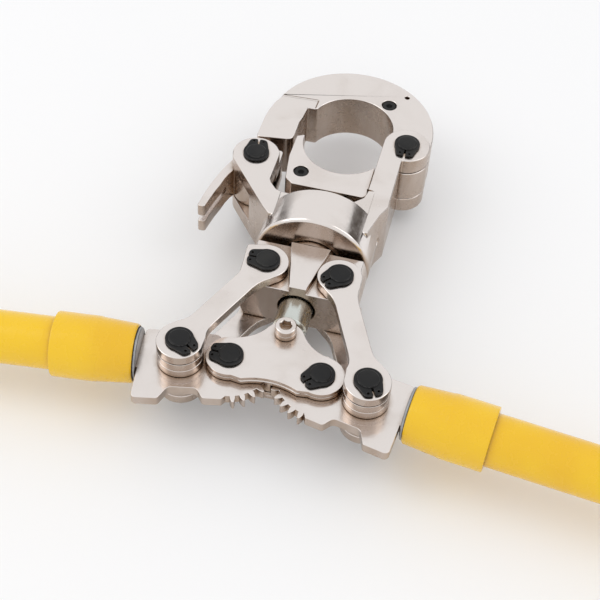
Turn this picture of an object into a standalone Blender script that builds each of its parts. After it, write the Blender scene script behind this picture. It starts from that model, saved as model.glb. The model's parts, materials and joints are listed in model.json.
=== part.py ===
"""Manual pipe press tool with a hinged press ring, a swivelling head and geared toggle handles.

The tool lies flat: +Y points from the handles to the press ring, +Z is the direction
of all pivot pins, and the handles are spread wide open along X.
Sizes are written in millimetres and MM turns them into metres.
"""
import math

import bmesh
import bpy
from mathutils import Matrix, Vector

MM = 0.001
ARC_STEP = 15.0
GAP = 0.3

# Pivot pins and retaining rings
PIN_D = 10.0
PIN_PLAY = 0.3
PIN_CHAMFER = 0.6
LONG_PIN_END = 18.8
SHORT_PIN_END = 9.4
GROOVE_DEPTH = 0.8
GROOVE_FACE_GAP = 0.3
RING_THICK = 1.0
RING_BAND = 1.9
RING_LUG_OUT = 8.6
RING_LUG_HALF = 3.4
RING_MOUTH = 1.1
RING_EYE_D = 1.5

# Toggle linkage
UPPER_PIVOT_X = 17.5
LOWER_PIVOT_X = 21.0
HANDLE_PIVOT_R = 22.0
LINK_LENGTH = 61.5
HANDLE_OPEN_ANGLE = 12.0
LINK_EYE_R = 10.5
LINK_THICK = 5.0
LINK_WAIST = 5.4
LINK_SHOULDER = 12.2

# Gear sectors on the handle brackets
GEAR_TEETH = 28
GEAR_MODULE = 1.5
PRESSURE_ANGLE = 20.0
TOOTH_THINNING = 0.3
BRACKET_THICK = 5.0
BRACKET_END = 40.2
BRACKET_TOP = 17.0
BRACKET_LAND = 21.0
BRACKET_LUG = 22.2
NOTCH_TOP = 15.6
CLEARANCE_HOLE_D = 16.0
HANDLE_TILT = 5.5
TANG_END = 62.0

# Centre plates, spacers and rod screw
PLATE_THICK = 4.3
PLATE_TO_SPACER = 0.7
PLATE_TOP_R = 9.5
PLATE_TOP_UP = 16.4
PLATE_HOLLOW_R = 20.0
SCREW_UP = 19.2
SCREW_D = 6.0
SCREW_HOLE_D = 6.6
SCREW_HEAD_D = 10.0
SCREW_HEAD_H = 5.7
HEX_ACROSS = 5.0
HEX_DEPTH = 3.2
SPACER_R = 10.5

# Yoke
YOKE_R = 28.0
YOKE_TOP = 17.0
YOKE_BOTTOM = -11.0
YOKE_HALF_THICK = 11.2
WEB_HALF_THICK = 14.5
WEB_TOP_HALF = 9.5
WEB_BOTTOM_HALF = 3.9
SPIGOT_R = 20.0
SPIGOT_TOP = 46.0
SPIGOT_GROOVE_Y = 41.0
SPIGOT_GROOVE_D = 1.6
ROD_BORE_D = 18.0

# Push rod
ROD_D = 16.0
ROD_SHOULDER_UP = 26.6
TONGUE_HALF_THICK = 2.5

# Swivel head
HEAD_R = 28.2
HEAD_BOTTOM = 19.5
HEAD_BORE_D = 40.8
HEAD_BORE_TOP = 47.0
ARM_HALF_THICK = 17.5
ARM_SLOT_HALF = 9.0
LOBE_R = 11.7
HINGE_X = 31.0
HINGE_Y = 95.0
CATCH_X = -40.5
CATCH_Y = 68.0
WINDOW_RIGHT = 18.6
WINDOW_LEFT = -29.3
SET_SCREW_D = 5.0

# Press ring
RING_Y = 107.0
RING_BORE_R = 21.5
RING_RIM = 11.5
RING_HALF_THICK = 12.0
TONGUE_R = 11.9
EYE_RELIEF_R = 12.15
PLUG_D = 7.0
PLUG_DEPTH = 2.4
PLUG_SEAT_LOW = 8.0
JAW_PLUG = (15.7, 128.9)
CATCH_SLOT_HALF = 6.4
CATCH_SLOT_X = -34.6

# Die holder and stroke
RAM_STROKE = 14.2
HOLDER_BOTTOM = 72.0
HOLDER_RIGHT = 18.0
HOLDER_PLUG = (-17.2, 81.8)

# Latch
LATCH_LOBE_R = 11.2
PILLAR_HALF = 6.0
TAIL_THICK = 4.2
SPRING_R = 7.4
SPRING_WIRE_D = 1.4
SPRING_TURNS = 3
SPRING_POCKET_R = 8.9
SPRING_POCKET_HALF = 3.9

# Handles
TUBE_R = 12.2
TUBE_WALL = 1.5
TUBE_END = 350.0
SOCKET_RIM = 3.0
SOCKET_SLEEVE = 0.37
COLLAR_STEP = 2.8
COLLAR_TAPER_END = 58.5
COLLAR_END = 79.5
INNER_TUBE_WALL = 1.5
INNER_TUBE_START = 150.0
GRIP_STEP = 2.3
GRIP_START = 354.0
GRIP_END = 478.0
CAP_LENGTH = 8.0

# Colours as the photograph shows them: base colour, roughness, metallic
NICKEL = ((0.72, 0.66, 0.61, 1.0), 0.24, 1.0)
BLACK_OXIDE = ((0.02, 0.02, 0.022, 1.0), 0.5, 0.2)
ZINC = ((0.55, 0.57, 0.53, 1.0), 0.3, 1.0)
YELLOW = ((0.93, 0.68, 0.03, 1.0), 0.2, 0.0)
BARE_STEEL = ((0.32, 0.31, 0.30, 1.0), 0.4, 1.0)
RUBBER = ((0.03, 0.03, 0.03, 1.0), 0.7, 0.0)

# Places that follow from the sizes above
PITCH_R = GEAR_TEETH * GEAR_MODULE / 2.0
OPEN_RAD = math.radians(HANDLE_OPEN_ANGLE)
LINK_FOOT_X = LOWER_PIVOT_X + HANDLE_PIVOT_R * math.cos(OPEN_RAD)
LINK_SIN = (LINK_FOOT_X - UPPER_PIVOT_X) / LINK_LENGTH
LINK_ANGLE = math.degrees(math.asin(LINK_SIN))
CARRIAGE_Y = -math.sqrt(LINK_LENGTH ** 2 - (LINK_FOOT_X - UPPER_PIVOT_X) ** 2)
CARRIAGE_Y += HANDLE_PIVOT_R * math.sin(OPEN_RAD)
PLATE_LOW = BRACKET_THICK / 2.0 + GAP
PLATE_HIGH = PLATE_LOW + PLATE_THICK
SPACER_HIGH = YOKE_HALF_THICK
LINK_LOW = YOKE_HALF_THICK + GAP
LINK_HIGH = LINK_LOW + LINK_THICK
RAM_REST = -RAM_STROKE
SOCKET_START = BRACKET_END + 2.0 * GAP
SPIGOT_GROOVE_W = SET_SCREW_D + 2.0 * GAP
TUBE_START = SOCKET_START + SOCKET_RIM
TONGUE_HALF = ARM_SLOT_HALF - GAP
PLATE_LOBE_R = HANDLE_PIVOT_R - SPACER_R - PLATE_TO_SPACER
TANG_REACH = TUBE_R - TUBE_WALL - SOCKET_SLEEVE - 2.0 * GAP
TANG_HALF = math.sqrt(TANG_REACH ** 2 - (BRACKET_THICK / 2.0) ** 2)
ROD_TOP_UP = HOLDER_BOTTOM - RAM_STROKE - CARRIAGE_Y - GAP
RING_OUTER_R = HINGE_X + RING_RIM
COLLAR_R = TUBE_R + COLLAR_STEP
GRIP_R = TUBE_R + GRIP_STEP


def clear_scene():
    for item in list(bpy.data.objects):
        bpy.data.objects.remove(item, do_unlink=True)


def new_collection(name):
    group = bpy.data.collections.new(name)
    bpy.context.scene.collection.children.link(group)
    return group


def make_material(name, finish):
    colour, roughness, metallic = finish
    material = bpy.data.materials.new(name)
    material.use_nodes = True
    shader = material.node_tree.nodes["Principled BSDF"]
    shader.inputs["Base Color"].default_value = colour
    shader.inputs["Roughness"].default_value = roughness
    shader.inputs["Metallic"].default_value = metallic
    return material


def arc(cx, cy, radius, start, end, step=ARC_STEP):
    """Points on an arc between two angles in degrees, both ends included."""
    count = max(2, int(math.ceil(abs(end - start) / step)) + 1)
    points = []
    for i in range(count):
        angle = math.radians(start + (end - start) * i / (count - 1))
        points.append((cx + radius * math.cos(angle), cy + radius * math.sin(angle)))
    return points


def circle(cx, cy, radius, count=16):
    step = 360.0 / count
    return arc(cx, cy, radius, 0.0, 360.0 - step, step)


def rounded(corners):
    """Outline through corners (x, y, radius), each corner turned by an arc of its radius."""
    points = []
    total = len(corners)
    for i, (x, y, radius) in enumerate(corners):
        here = Vector((x, y))
        before = Vector(corners[i - 1][:2]) - here
        after = Vector(corners[(i + 1) % total][:2]) - here
        if radius <= 0.0:
            points.append((x, y))
            continue
        half = before.angle(after) / 2.0
        reach = min(radius / math.tan(half), 0.49 * before.length, 0.49 * after.length)
        fitted = reach * math.tan(half)
        middle = (before.normalized() + after.normalized()).normalized()
        centre = here + middle * (fitted / math.sin(half))
        first = here + before.normalized() * reach - centre
        last = here + after.normalized() * reach - centre
        turn = first.angle_signed(last)
        start = math.atan2(first.y, first.x)
        steps = max(1, int(math.ceil(math.degrees(abs(turn)) / ARC_STEP)))
        for k in range(steps + 1):
            angle = start - turn * k / steps
            offset = Vector((math.cos(angle), math.sin(angle))) * fitted
            points.append((centre.x + offset.x, centre.y + offset.y))
    return points


def mirrored(points, side):
    """Outline for the +X side, or its mirror image for side -1."""
    if side > 0:
        return list(points)
    return [(-x, y) for x, y in reversed(points)]


def drop_repeats(points):
    """Outline without points that lie on top of the one before."""
    kept = []
    for point in points:
        if not kept or math.dist(kept[-1], point) > 0.02:
            kept.append(point)
    if math.dist(kept[0], kept[-1]) < 0.02:
        kept.pop()
    return kept


def plate(name, outline, holes, low, high):
    """Flat piece from a filled 2D curve, extruded from height low to height high."""
    curve = bpy.data.curves.new(name, "CURVE")
    curve.dimensions = "2D"
    curve.fill_mode = "BOTH"
    curve.extrude = (high - low) / 2.0 * MM
    for loop in [outline] + list(holes):
        loop = drop_repeats(loop)
        spline = curve.splines.new("POLY")
        spline.points.add(len(loop) - 1)
        for point, (x, y) in zip(spline.points, loop):
            point.co = (x * MM, y * MM, 0.0, 1.0)
        spline.use_cyclic_u = True
    drawn = bpy.data.objects.new(name + "_outline", curve)
    bpy.context.scene.collection.objects.link(drawn)
    bpy.context.view_layer.update()
    graph = bpy.context.evaluated_depsgraph_get()
    mesh = bpy.data.meshes.new_from_object(drawn.evaluated_get(graph))
    bpy.data.objects.remove(drawn, do_unlink=True)
    bpy.data.curves.remove(curve)
    mesh.name = name
    mesh.transform(Matrix.Translation((0.0, 0.0, (high + low) / 2.0 * MM)))
    tidy_mesh(mesh)
    return bpy.data.objects.new(name, mesh)


def tidy_mesh(mesh):
    """Weld the loose caps of a converted curve and turn all faces outwards."""
    work = bmesh.new()
    work.from_mesh(mesh)
    bmesh.ops.remove_doubles(work, verts=work.verts, dist=0.000002)
    bmesh.ops.recalc_face_normals(work, faces=work.faces)
    work.to_mesh(mesh)
    work.free()


def turned(name, profile, segments=28, axis="Z", closed=False):
    """Turned piece: (radius, height) down the outer side, spun about its axis."""
    mesh = bpy.data.meshes.new(name)
    work = bmesh.new()
    points = [work.verts.new((radius * MM, 0.0, height * MM)) for radius, height in profile]
    pairs = list(zip(points, points[1:]))
    if closed:
        pairs.append((points[-1], points[0]))
    for pair in pairs:
        work.edges.new(pair)
    work.to_mesh(mesh)
    work.free()
    piece = bpy.data.objects.new(name, mesh)
    screw = piece.modifiers.new("Turn", "SCREW")
    screw.axis = "Z"
    screw.steps = segments
    screw.render_steps = segments
    screw.use_merge_vertices = True
    screw.merge_threshold = 0.00001
    screw.use_smooth_shade = False
    turns = {"Z": (0.0, 0.0, 0.0), "Y": (-90.0, 0.0, 0.0), "X": (0.0, 90.0, 0.0)}
    piece.rotation_euler = [math.radians(angle) for angle in turns[axis]]
    return piece


def cylinder(name, radius, low, high, axis="Z", segments=18, at=(0.0, 0.0, 0.0)):
    profile = [(0.0, high), (radius, high), (radius, low), (0.0, low)]
    piece = turned(name, profile, segments, axis)
    piece.location = [value * MM for value in at]
    return piece


def box(name, low, high):
    mesh = bpy.data.meshes.new(name)
    work = bmesh.new()
    bmesh.ops.create_cube(work, size=1.0)
    size = [b - a for a, b in zip(low, high)]
    middle = [(a + b) / 2.0 for a, b in zip(low, high)]
    for vert in work.verts:
        vert.co = [(vert.co[i] * size[i] + middle[i]) * MM for i in range(3)]
    work.to_mesh(mesh)
    work.free()
    return bpy.data.objects.new(name, mesh)


def hide_tool(tool, owner):
    """Put a cutter or an added body in the cutters' collection, beside its owner."""
    cutters.objects.link(tool)
    tool.parent = owner.parent
    tool.hide_render = True
    tool.display_type = "WIRE"


def combine(piece, tool, operation):
    hide_tool(tool, piece)
    step = piece.modifiers.new(tool.name, "BOOLEAN")
    step.operation = operation
    step.solver = "EXACT"
    step.object = tool


def cut(piece, *tools):
    for tool in tools:
        combine(piece, tool, "DIFFERENCE")


def join(piece, *tools):
    for tool in tools:
        combine(piece, tool, "UNION")


def frame_point(name, parent, x, y, z=0.0, turn=0.0):
    """Empty on a joint's axis, in its parent's own coordinates."""
    point = bpy.data.objects.new(name, None)
    point.empty_display_size = 0.01
    parts.objects.link(point)
    point.parent = parent
    point.location = (x * MM, y * MM, z * MM)
    point.rotation_euler = (0.0, 0.0, math.radians(turn))
    return point


def place(piece, parent, material):
    """Give a piece its parent and its material, and put it in the part's collection."""
    parts.objects.link(piece)
    piece.parent = parent
    if not piece.data.materials:
        piece.data.materials.append(material)
    return piece


def smooth_round(piece):
    piece.data.shade_smooth()
    piece.data.set_sharp_from_angle(angle=math.radians(35.0))


def pin(name, parent, x, y, end, ring_low):
    """Headless pin with a groove near each end for its retaining rings."""
    radius = PIN_D / 2.0
    groove = radius - GROOVE_DEPTH
    low = ring_low - GROOVE_FACE_GAP
    high = ring_low + RING_THICK + GROOVE_FACE_GAP
    upper = [
        (0.0, end),
        (radius - PIN_CHAMFER, end),
        (radius, end - PIN_CHAMFER),
        (radius, high),
        (groove, high),
        (groove, low),
        (radius, low),
    ]
    lower = [(r, -z) for r, z in reversed(upper)]
    piece = turned(name, upper + lower, 12)
    piece.location = (x * MM, y * MM, 0.0)
    return place(piece, parent, black)


def retaining_ring(name, parent, x, y, low, direction):
    """Open ring with two holed lugs, its mouth turned towards direction."""
    inner = PIN_D / 2.0 - GROOVE_DEPTH + GAP
    outer = inner + RING_BAND
    mouth = math.degrees(math.asin(RING_MOUTH / inner))
    lug = math.degrees(math.asin(RING_LUG_HALF / outer))
    points = arc(0.0, 0.0, inner, 360.0 - mouth, mouth, 32.0)
    points.append((RING_LUG_OUT, RING_MOUTH))
    points.append((RING_LUG_OUT - 0.4, RING_LUG_HALF - 0.4))
    points.extend(arc(0.0, 0.0, outer, lug, 360.0 - lug, 24.0))
    points.append((RING_LUG_OUT - 0.4, -RING_LUG_HALF + 0.4))
    points.append((RING_LUG_OUT, -RING_MOUTH))
    eye_x = (inner + RING_BAND + RING_LUG_OUT) / 2.0 - 0.2
    eye_y = (RING_MOUTH + RING_LUG_HALF) / 2.0
    eyes = [circle(eye_x, side * eye_y, RING_EYE_D / 2.0, 6) for side in (1, -1)]
    piece = plate(name, points, eyes, low, low + RING_THICK)
    piece.location = (x * MM, y * MM, 0.0)
    piece.rotation_euler = (0.0, 0.0, math.radians(direction))
    return place(piece, parent, black)


def ring_pair(name, parent, x, y, face, direction):
    """Retaining rings in front of and behind the faces that a pin holds together."""
    retaining_ring(name + "_front", parent, x, y, face + GAP, direction)
    low = -face - GAP - RING_THICK
    retaining_ring(name + "_back", parent, x, y, low, direction)


def tooth_half_angle(radius):
    """Half the angle that an involute tooth fills at a radius, in degrees."""
    base = PITCH_R * math.cos(math.radians(PRESSURE_ANGLE))
    at_pitch = math.pi / (2.0 * GEAR_TEETH) - TOOTH_THINNING / (2.0 * PITCH_R)
    pressure = math.radians(PRESSURE_ANGLE)
    involute = math.tan(pressure) - pressure
    if radius > base:
        slope = math.acos(base / radius)
        local = math.tan(slope) - slope
    else:
        local = 0.0
    return math.degrees(at_pitch + involute - local)


def gear_arc(first_tooth, tooth_count):
    """Sector of teeth round the bracket's pivot, from the inner side to the bottom."""
    tip = PITCH_R + GEAR_MODULE
    root = PITCH_R - 1.25 * GEAR_MODULE
    levels = [root, PITCH_R - 0.75 * GEAR_MODULE, PITCH_R, PITCH_R + 0.6 * GEAR_MODULE, tip]
    points = []
    for i in range(tooth_count):
        middle = first_tooth + i * 360.0 / GEAR_TEETH
        rising = [(radius, middle - tooth_half_angle(radius)) for radius in levels]
        falling = [(radius, middle + tooth_half_angle(radius)) for radius in reversed(levels)]
        for radius, angle in rising + falling:
            turn = math.radians(angle)
            points.append((radius * math.cos(turn), radius * math.sin(turn)))
    return points


def space_floor(first_tooth, tooth_count):
    """Far corner of the tooth space after the last tooth, on the root circle."""
    root = PITCH_R - 1.25 * GEAR_MODULE
    next_tooth = first_tooth + tooth_count * 360.0 / GEAR_TEETH
    turn = math.radians(next_tooth - tooth_half_angle(root))
    return (root * math.cos(turn), root * math.sin(turn))


def bracket_outline(side):
    """Handle bracket about its pivot, with +X out along the handle pivot pin."""
    mesh_angle = 180.0 + HANDLE_OPEN_ANGLE
    pitch = 360.0 / GEAR_TEETH
    first = mesh_angle - pitch if side > 0 else mesh_angle - pitch / 2.0
    count = 8 if side > 0 else 7
    tilt = math.radians(HANDLE_TILT)
    along = Vector((math.cos(tilt), math.sin(tilt)))
    across = Vector((-along.y, along.x))

    def on_handle(reach, height):
        return along * reach + across * height

    low_corner = on_handle(BRACKET_END, -(BRACKET_LUG + along.y * BRACKET_END) / along.x)
    high_corner = on_handle(BRACKET_END, (BRACKET_TOP - along.y * BRACKET_END) / along.x)
    lug_in = low_corner.x - 12.0
    edge = rounded([
        (2.4, -BRACKET_LAND, 0.0),
        (10.8, -BRACKET_LAND, 1.0),
        (13.6, -NOTCH_TOP, 2.0),
        (26.4, -NOTCH_TOP, 2.0),
        (lug_in, -BRACKET_LUG, 1.5),
        (*low_corner, 2.2),
        (*on_handle(BRACKET_END, -TANG_HALF), 0.0),
        (*on_handle(TANG_END, -TANG_HALF), 1.0),
        (*on_handle(TANG_END, TANG_HALF), 1.0),
        (*on_handle(BRACKET_END, TANG_HALF), 0.0),
        (*high_corner, 2.5),
        (4.0, BRACKET_TOP - 1.6, 4.0),
    ])
    shoulder = arc(0.0, 0.0, BRACKET_TOP - 2.0, 100.0, 168.0)
    sector = gear_arc(first, count)
    if side < 0:
        sector.append(space_floor(first, count))
    return mirrored(edge + shoulder + sector, side)


def plate_outline():
    """Centre plate with three lobes joined by hollow sides, about the carriage point."""
    lobe = LOWER_PIVOT_X
    up = PLATE_TOP_UP
    near = PLATE_HOLLOW_R + PLATE_LOBE_R
    far = PLATE_HOLLOW_R + PLATE_TOP_R
    span = math.hypot(lobe, up)
    reach = (near ** 2 - far ** 2 + span ** 2) / (2.0 * span)
    off = math.sqrt(near ** 2 - reach ** 2)
    cx = lobe + (up * off - lobe * reach) / span
    cy = (up * reach + lobe * off) / span
    low_turn = math.degrees(math.atan2(-cy, lobe - cx))
    top_turn = math.degrees(math.atan2(up - cy, -cx))
    right = arc(lobe, 0.0, PLATE_LOBE_R, -110.0, low_turn + 180.0)
    hollow_right = arc(cx, cy, PLATE_HOLLOW_R, low_turn, top_turn)
    top = arc(0.0, up, PLATE_TOP_R, top_turn + 180.0, -top_turn)
    hollow_left = [(-x, y) for x, y in reversed(hollow_right)]
    left = arc(-lobe, 0.0, PLATE_LOBE_R, -low_turn, 290.0)
    bottom = arc(0.0, -39.5, 31.3, 114.0, 66.0, 8.0)
    return right + hollow_right + top + hollow_left + left + bottom


def link_outline(side, shouldered):
    """Toggle link from its upper eye at the origin down to its lower eye."""
    reach = LINK_LENGTH
    waist = LINK_WAIST
    lower = arc(0.0, -reach, LINK_EYE_R, -215.0, 35.0)
    neck_right = [(waist, -reach + 15.0), (waist, -15.5)]
    upper = arc(0.0, 0.0, LINK_EYE_R, -42.0, 222.0)
    neck_left = [(-waist, -15.5), (-waist, -reach + 15.0)]
    if shouldered:
        neck_right = [(waist, -reach + 15.0), (waist + 1.2, -30.0), (LINK_SHOULDER, -15.5)]
        neck_right.append((LINK_SHOULDER, -1.5))
        neck_right.append((LINK_SHOULDER - 2.6, 2.2))
        upper = arc(0.0, 0.0, LINK_EYE_R, 24.0, 222.0)
    return mirrored(lower + neck_right + upper + neck_left, side)


def make_link(name, parent, side, front, shouldered):
    low, high = (LINK_LOW, LINK_HIGH) if front else (-LINK_HIGH, -LINK_LOW)
    hole = PIN_D / 2.0 + PIN_PLAY
    holes = [circle(0.0, 0.0, hole), circle(0.0, -LINK_LENGTH, hole)]
    piece = plate(name, link_outline(side, shouldered), holes, low, high)
    return place(piece, parent, nickel)


def make_yoke(parent):
    """Slab with two eyes, a raised web in the middle and the round spigot of the swivel."""
    blank = [
        (0.0, SPIGOT_TOP),
        (SPIGOT_R - 0.8, SPIGOT_TOP),
        (SPIGOT_R, SPIGOT_TOP - 0.8),
        (SPIGOT_R, SPIGOT_GROOVE_Y + SPIGOT_GROOVE_W / 2.0),
        (SPIGOT_R - SPIGOT_GROOVE_D, SPIGOT_GROOVE_Y + SPIGOT_GROOVE_W / 2.0),
        (SPIGOT_R - SPIGOT_GROOVE_D, SPIGOT_GROOVE_Y - SPIGOT_GROOVE_W / 2.0),
        (SPIGOT_R, SPIGOT_GROOVE_Y - SPIGOT_GROOVE_W / 2.0),
        (SPIGOT_R, YOKE_TOP),
        (YOKE_R - 0.8, YOKE_TOP),
        (YOKE_R, YOKE_TOP - 0.8),
        (YOKE_R, YOKE_BOTTOM + 0.8),
        (YOKE_R - 0.8, YOKE_BOTTOM),
        (0.0, YOKE_BOTTOM),
    ]
    piece = turned("yoke", blank, 32, "Y")
    place(piece, parent, nickel)
    side = [
        (WEB_TOP_HALF, YOKE_TOP + 1.0),
        (WEB_TOP_HALF, YOKE_TOP),
        (8.0, 9.0),
        (6.6, 2.0),
        (5.0, -5.0),
        (WEB_BOTTOM_HALF, YOKE_BOTTOM - 2.0),
    ]
    left = [(-x, y) for x, y in reversed(side)]
    outside = [(-40.0, YOKE_BOTTOM - 2.0), (-40.0, YOKE_TOP + 0.001)]
    pocket_left = left[:-1] + outside[::-1]
    pocket_left = [(x, min(y, YOKE_TOP + 0.001)) for x, y in pocket_left]
    pocket_right = [(-x, y) for x, y in reversed(pocket_left)]
    for sign in (1, -1):
        for label, outline in (("left", pocket_left), ("right", pocket_right)):
            heights = sorted((sign * YOKE_HALF_THICK, sign * 40.0))
            cutter = plate("yoke_pocket_%s_%d" % (label, sign), outline, [], *heights)
            cut(piece, cutter)
        heights = sorted((sign * WEB_HALF_THICK, sign * 40.0))
        size_low = (-12.0, YOKE_BOTTOM - 2.0, heights[0])
        size_high = (12.0, YOKE_TOP + 0.002, heights[1])
        cut(piece, box("yoke_web_face_%d" % sign, size_low, size_high))
    bore = cylinder("yoke_rod_bore", ROD_BORE_D / 2.0, -60.0, 60.0, "Y", 24)
    cut(piece, bore)
    for sign in (1, -1):
        hole = cylinder("yoke_eye_%d" % sign, PIN_D / 2.0 + PIN_PLAY, -40.0, 40.0)
        hole.location.x = sign * UPPER_PIVOT_X * MM
        cut(piece, hole)
    return piece


def head_plate_outline():
    """Outline of the two arms, seen along the pins."""
    catch = (CATCH_X, CATCH_Y)
    hinge = (HINGE_X, HINGE_Y)
    right_low = [(HEAD_R - 4.0, HEAD_BOTTOM + 10.0), (HEAD_R - 0.6, 43.0), (HINGE_X - 0.6, 49.0)]
    right_lobe = arc(*hinge, LOBE_R, -80.0, 180.0)
    window = [(WINDOW_RIGHT, 53.0), (13.0, 47.7), (4.0, 44.0), (-24.0, 45.8), (WINDOW_LEFT + 0.3, 51.5)]
    left_lobe = arc(*catch, LOBE_R, 12.0, 222.0)
    left_low = [(-HEAD_R + 0.4, 33.0), (-HEAD_R + 4.0, HEAD_BOTTOM + 10.0)]
    return right_low + right_lobe + window + left_lobe + left_low


def make_head(parent):
    """Turned lower body with two forked arms, one for the hinge and one for the latch."""
    body = [
        (0.0, 58.0),
        (HEAD_R, 58.0),
        (HEAD_R, HEAD_BOTTOM + 1.0),
        (HEAD_R - 1.0, HEAD_BOTTOM),
        (0.0, HEAD_BOTTOM),
    ]
    piece = turned("head_body", body, 36, "Y")
    place(piece, parent, nickel)
    window = [
        (WINDOW_RIGHT, 70.0),
        (WINDOW_RIGHT, 53.0),
        (13.0, 47.7),
        (4.0, 44.0),
        (-24.0, 45.8),
        (WINDOW_LEFT + 0.3, 51.5),
        (WINDOW_LEFT + 0.3, 70.0),
    ]
    for sign in (1, -1):
        crown = [(-40.0, 48.5), (-40.0, 70.0), (40.0, 70.0), (40.0, 50.5), (24.0, 42.0), (-24.0, 40.0)]
        heights = sorted((sign * (ARM_HALF_THICK + 0.001), sign * 40.0))
        cut(piece, plate("head_crown_%d" % sign, crown[::-1], [], *heights))
    cut(piece, plate("head_window", window[::-1], [], -40.0, 40.0))
    arms = plate("head_arms", head_plate_outline(), [], -ARM_HALF_THICK, ARM_HALF_THICK)
    join(piece, arms)
    swivel_bore = cylinder("head_bore", HEAD_BORE_D / 2.0, 0.0, HEAD_BORE_TOP, "Y", 32)
    cut(piece, swivel_bore)
    slot_low = HINGE_Y - TONGUE_R - 1.6
    hinge_slot = plate(
        "head_hinge_slot",
        [(WINDOW_RIGHT - 4.0, 120.0), (WINDOW_RIGHT - 4.0, slot_low), (60.0, slot_low), (60.0, 120.0)],
        [], -ARM_SLOT_HALF, ARM_SLOT_HALF)
    cut(piece, hinge_slot)
    catch_slot = plate(
        "head_catch_slot",
        [(-24.0, 90.0), (-24.0, 57.0), (-34.0, 52.0), (-44.0, 40.0), (-80.0, 40.0), (-80.0, 90.0)],
        [], -ARM_SLOT_HALF, ARM_SLOT_HALF)
    cut(piece, catch_slot)
    for label, x, y in (("hinge", HINGE_X, HINGE_Y), ("catch", CATCH_X, CATCH_Y)):
        hole = cylinder("head_%s_hole" % label, PIN_D / 2.0 + PIN_PLAY, -30.0, 30.0, at=(x, y, 0.0))
        cut(piece, hole)
    screw_at = (24.0, SPIGOT_GROOVE_Y, 0.0)
    screw_hole = cylinder("head_screw_hole", SET_SCREW_D / 2.0 + GAP, -6.0, 8.0, "X", 16, screw_at)
    cut(piece, screw_hole)
    return piece


def make_set_screw(parent):
    """Grub screw that runs in the spigot's groove and lets the head turn."""
    radius = SET_SCREW_D / 2.0
    start = SPIGOT_R - SPIGOT_GROOVE_D + GAP
    piece = cylinder("swivel_set_screw", radius, start, HEAD_R - 1.8, "X", 16)
    piece.location.y = SPIGOT_GROOVE_Y * MM
    return place(piece, parent, black)


def jaw_outline():
    """Press ring from its hinge tongue round to the free end, seen along the pins."""
    bore = arc(0.0, RING_Y, RING_BORE_R, 157.5, -25.0, 10.0)
    tongue = arc(HINGE_X, HINGE_Y, TONGUE_R, 166.0, 389.0, 14.0)
    outer = arc(0.0, RING_Y, RING_OUTER_R, -6.0, 160.0, 8.0)
    free_end = [
        (-43.4, 114.0),
        (-44.9, 104.0),
        (-45.3, 86.6),
        (-28.9, 89.2),
        (-26.5, 91.7),
        (-26.5, 103.0),
        (-25.7, 107.0),
        (-24.9, 115.2),
    ]
    return bore + tongue + outer + free_end


def make_jaw(parent):
    piece = plate("upper_jaw", about_hinge(jaw_outline()), [], -RING_HALF_THICK, RING_HALF_THICK)
    place(piece, parent, nickel)
    for sign in (1, -1):
        low, high = sorted((sign * TONGUE_HALF, sign * (RING_HALF_THICK + 2.0)))
        cut(piece, cylinder("jaw_relief_%d" % sign, EYE_RELIEF_R, low, high, segments=40))
    cut(piece, cylinder("jaw_pin_hole", PIN_D / 2.0 + PIN_PLAY, -20.0, 20.0))
    slot_low = (-70.0 - HINGE_X, 80.0 - HINGE_Y, -CATCH_SLOT_HALF)
    slot_high = (CATCH_SLOT_X - HINGE_X, 119.0 - HINGE_Y, CATCH_SLOT_HALF)
    cut(piece, box("jaw_catch_slot", slot_low, slot_high))
    plug_at = (JAW_PLUG[0] - HINGE_X, JAW_PLUG[1] - HINGE_Y, 0.0)
    cut(piece, cylinder("jaw_plug_seat", PLUG_D / 2.0 + GAP, PLUG_SEAT_LOW, 20.0, segments=16, at=plug_at))
    return piece


def about_hinge(points):
    return [(x - HINGE_X, y - HINGE_Y) for x, y in points]


def make_plug(name, parent, x, y):
    """Black socket plug that clamps a die, sunk in the front face."""
    radius = PLUG_D / 2.0
    low = PLUG_SEAT_LOW + GAP
    high = RING_HALF_THICK - 0.4
    profile = [
        (0.0, high - PLUG_DEPTH),
        (1.5, high - PLUG_DEPTH),
        (1.5, high),
        (radius - 0.3, high),
        (radius, high - 0.3),
        (radius, low),
        (0.0, low),
    ]
    piece = turned(name, profile, 16)
    piece.location = (x * MM, y * MM, 0.0)
    return place(piece, parent, black)


def holder_outline():
    """Lower die holder at the end of its stroke: seat, horn and slanted latch side."""
    seat = arc(0.0, RING_Y, RING_BORE_R, 172.0, 324.0, 8.0)
    corners = rounded([
        (HOLDER_RIGHT, 93.6, 0.0),
        (HOLDER_RIGHT, HOLDER_BOTTOM, 3.0),
        (-19.6, HOLDER_BOTTOM, 1.5),
        (-23.7, 75.2, 1.5),
        (-25.6, 91.0, 6.0),
        (-25.2, 106.6, 0.0),
    ])
    return seat + corners


def make_holder(parent):
    piece = plate("die_holder", holder_outline(), [], -RING_HALF_THICK, RING_HALF_THICK)
    place(piece, parent, nickel)
    plug_at = (*HOLDER_PLUG, 0.0)
    cut(piece, cylinder("holder_plug_seat", PLUG_D / 2.0 + GAP, PLUG_SEAT_LOW, 20.0, segments=16, at=plug_at))
    for x, z in ((-6.0, 7.0), (-6.0, -7.0)):
        at = (x, 84.0, z)
        cut(piece, cylinder("holder_hole_%d" % z, 1.8, -6.0, 6.0, "Y", 12, at))
    recess = cylinder("holder_recess", 4.2, -2.0, 4.0, "Y", 20, (4.5, 84.6, 0.0))
    cut(piece, recess)
    return piece


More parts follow.
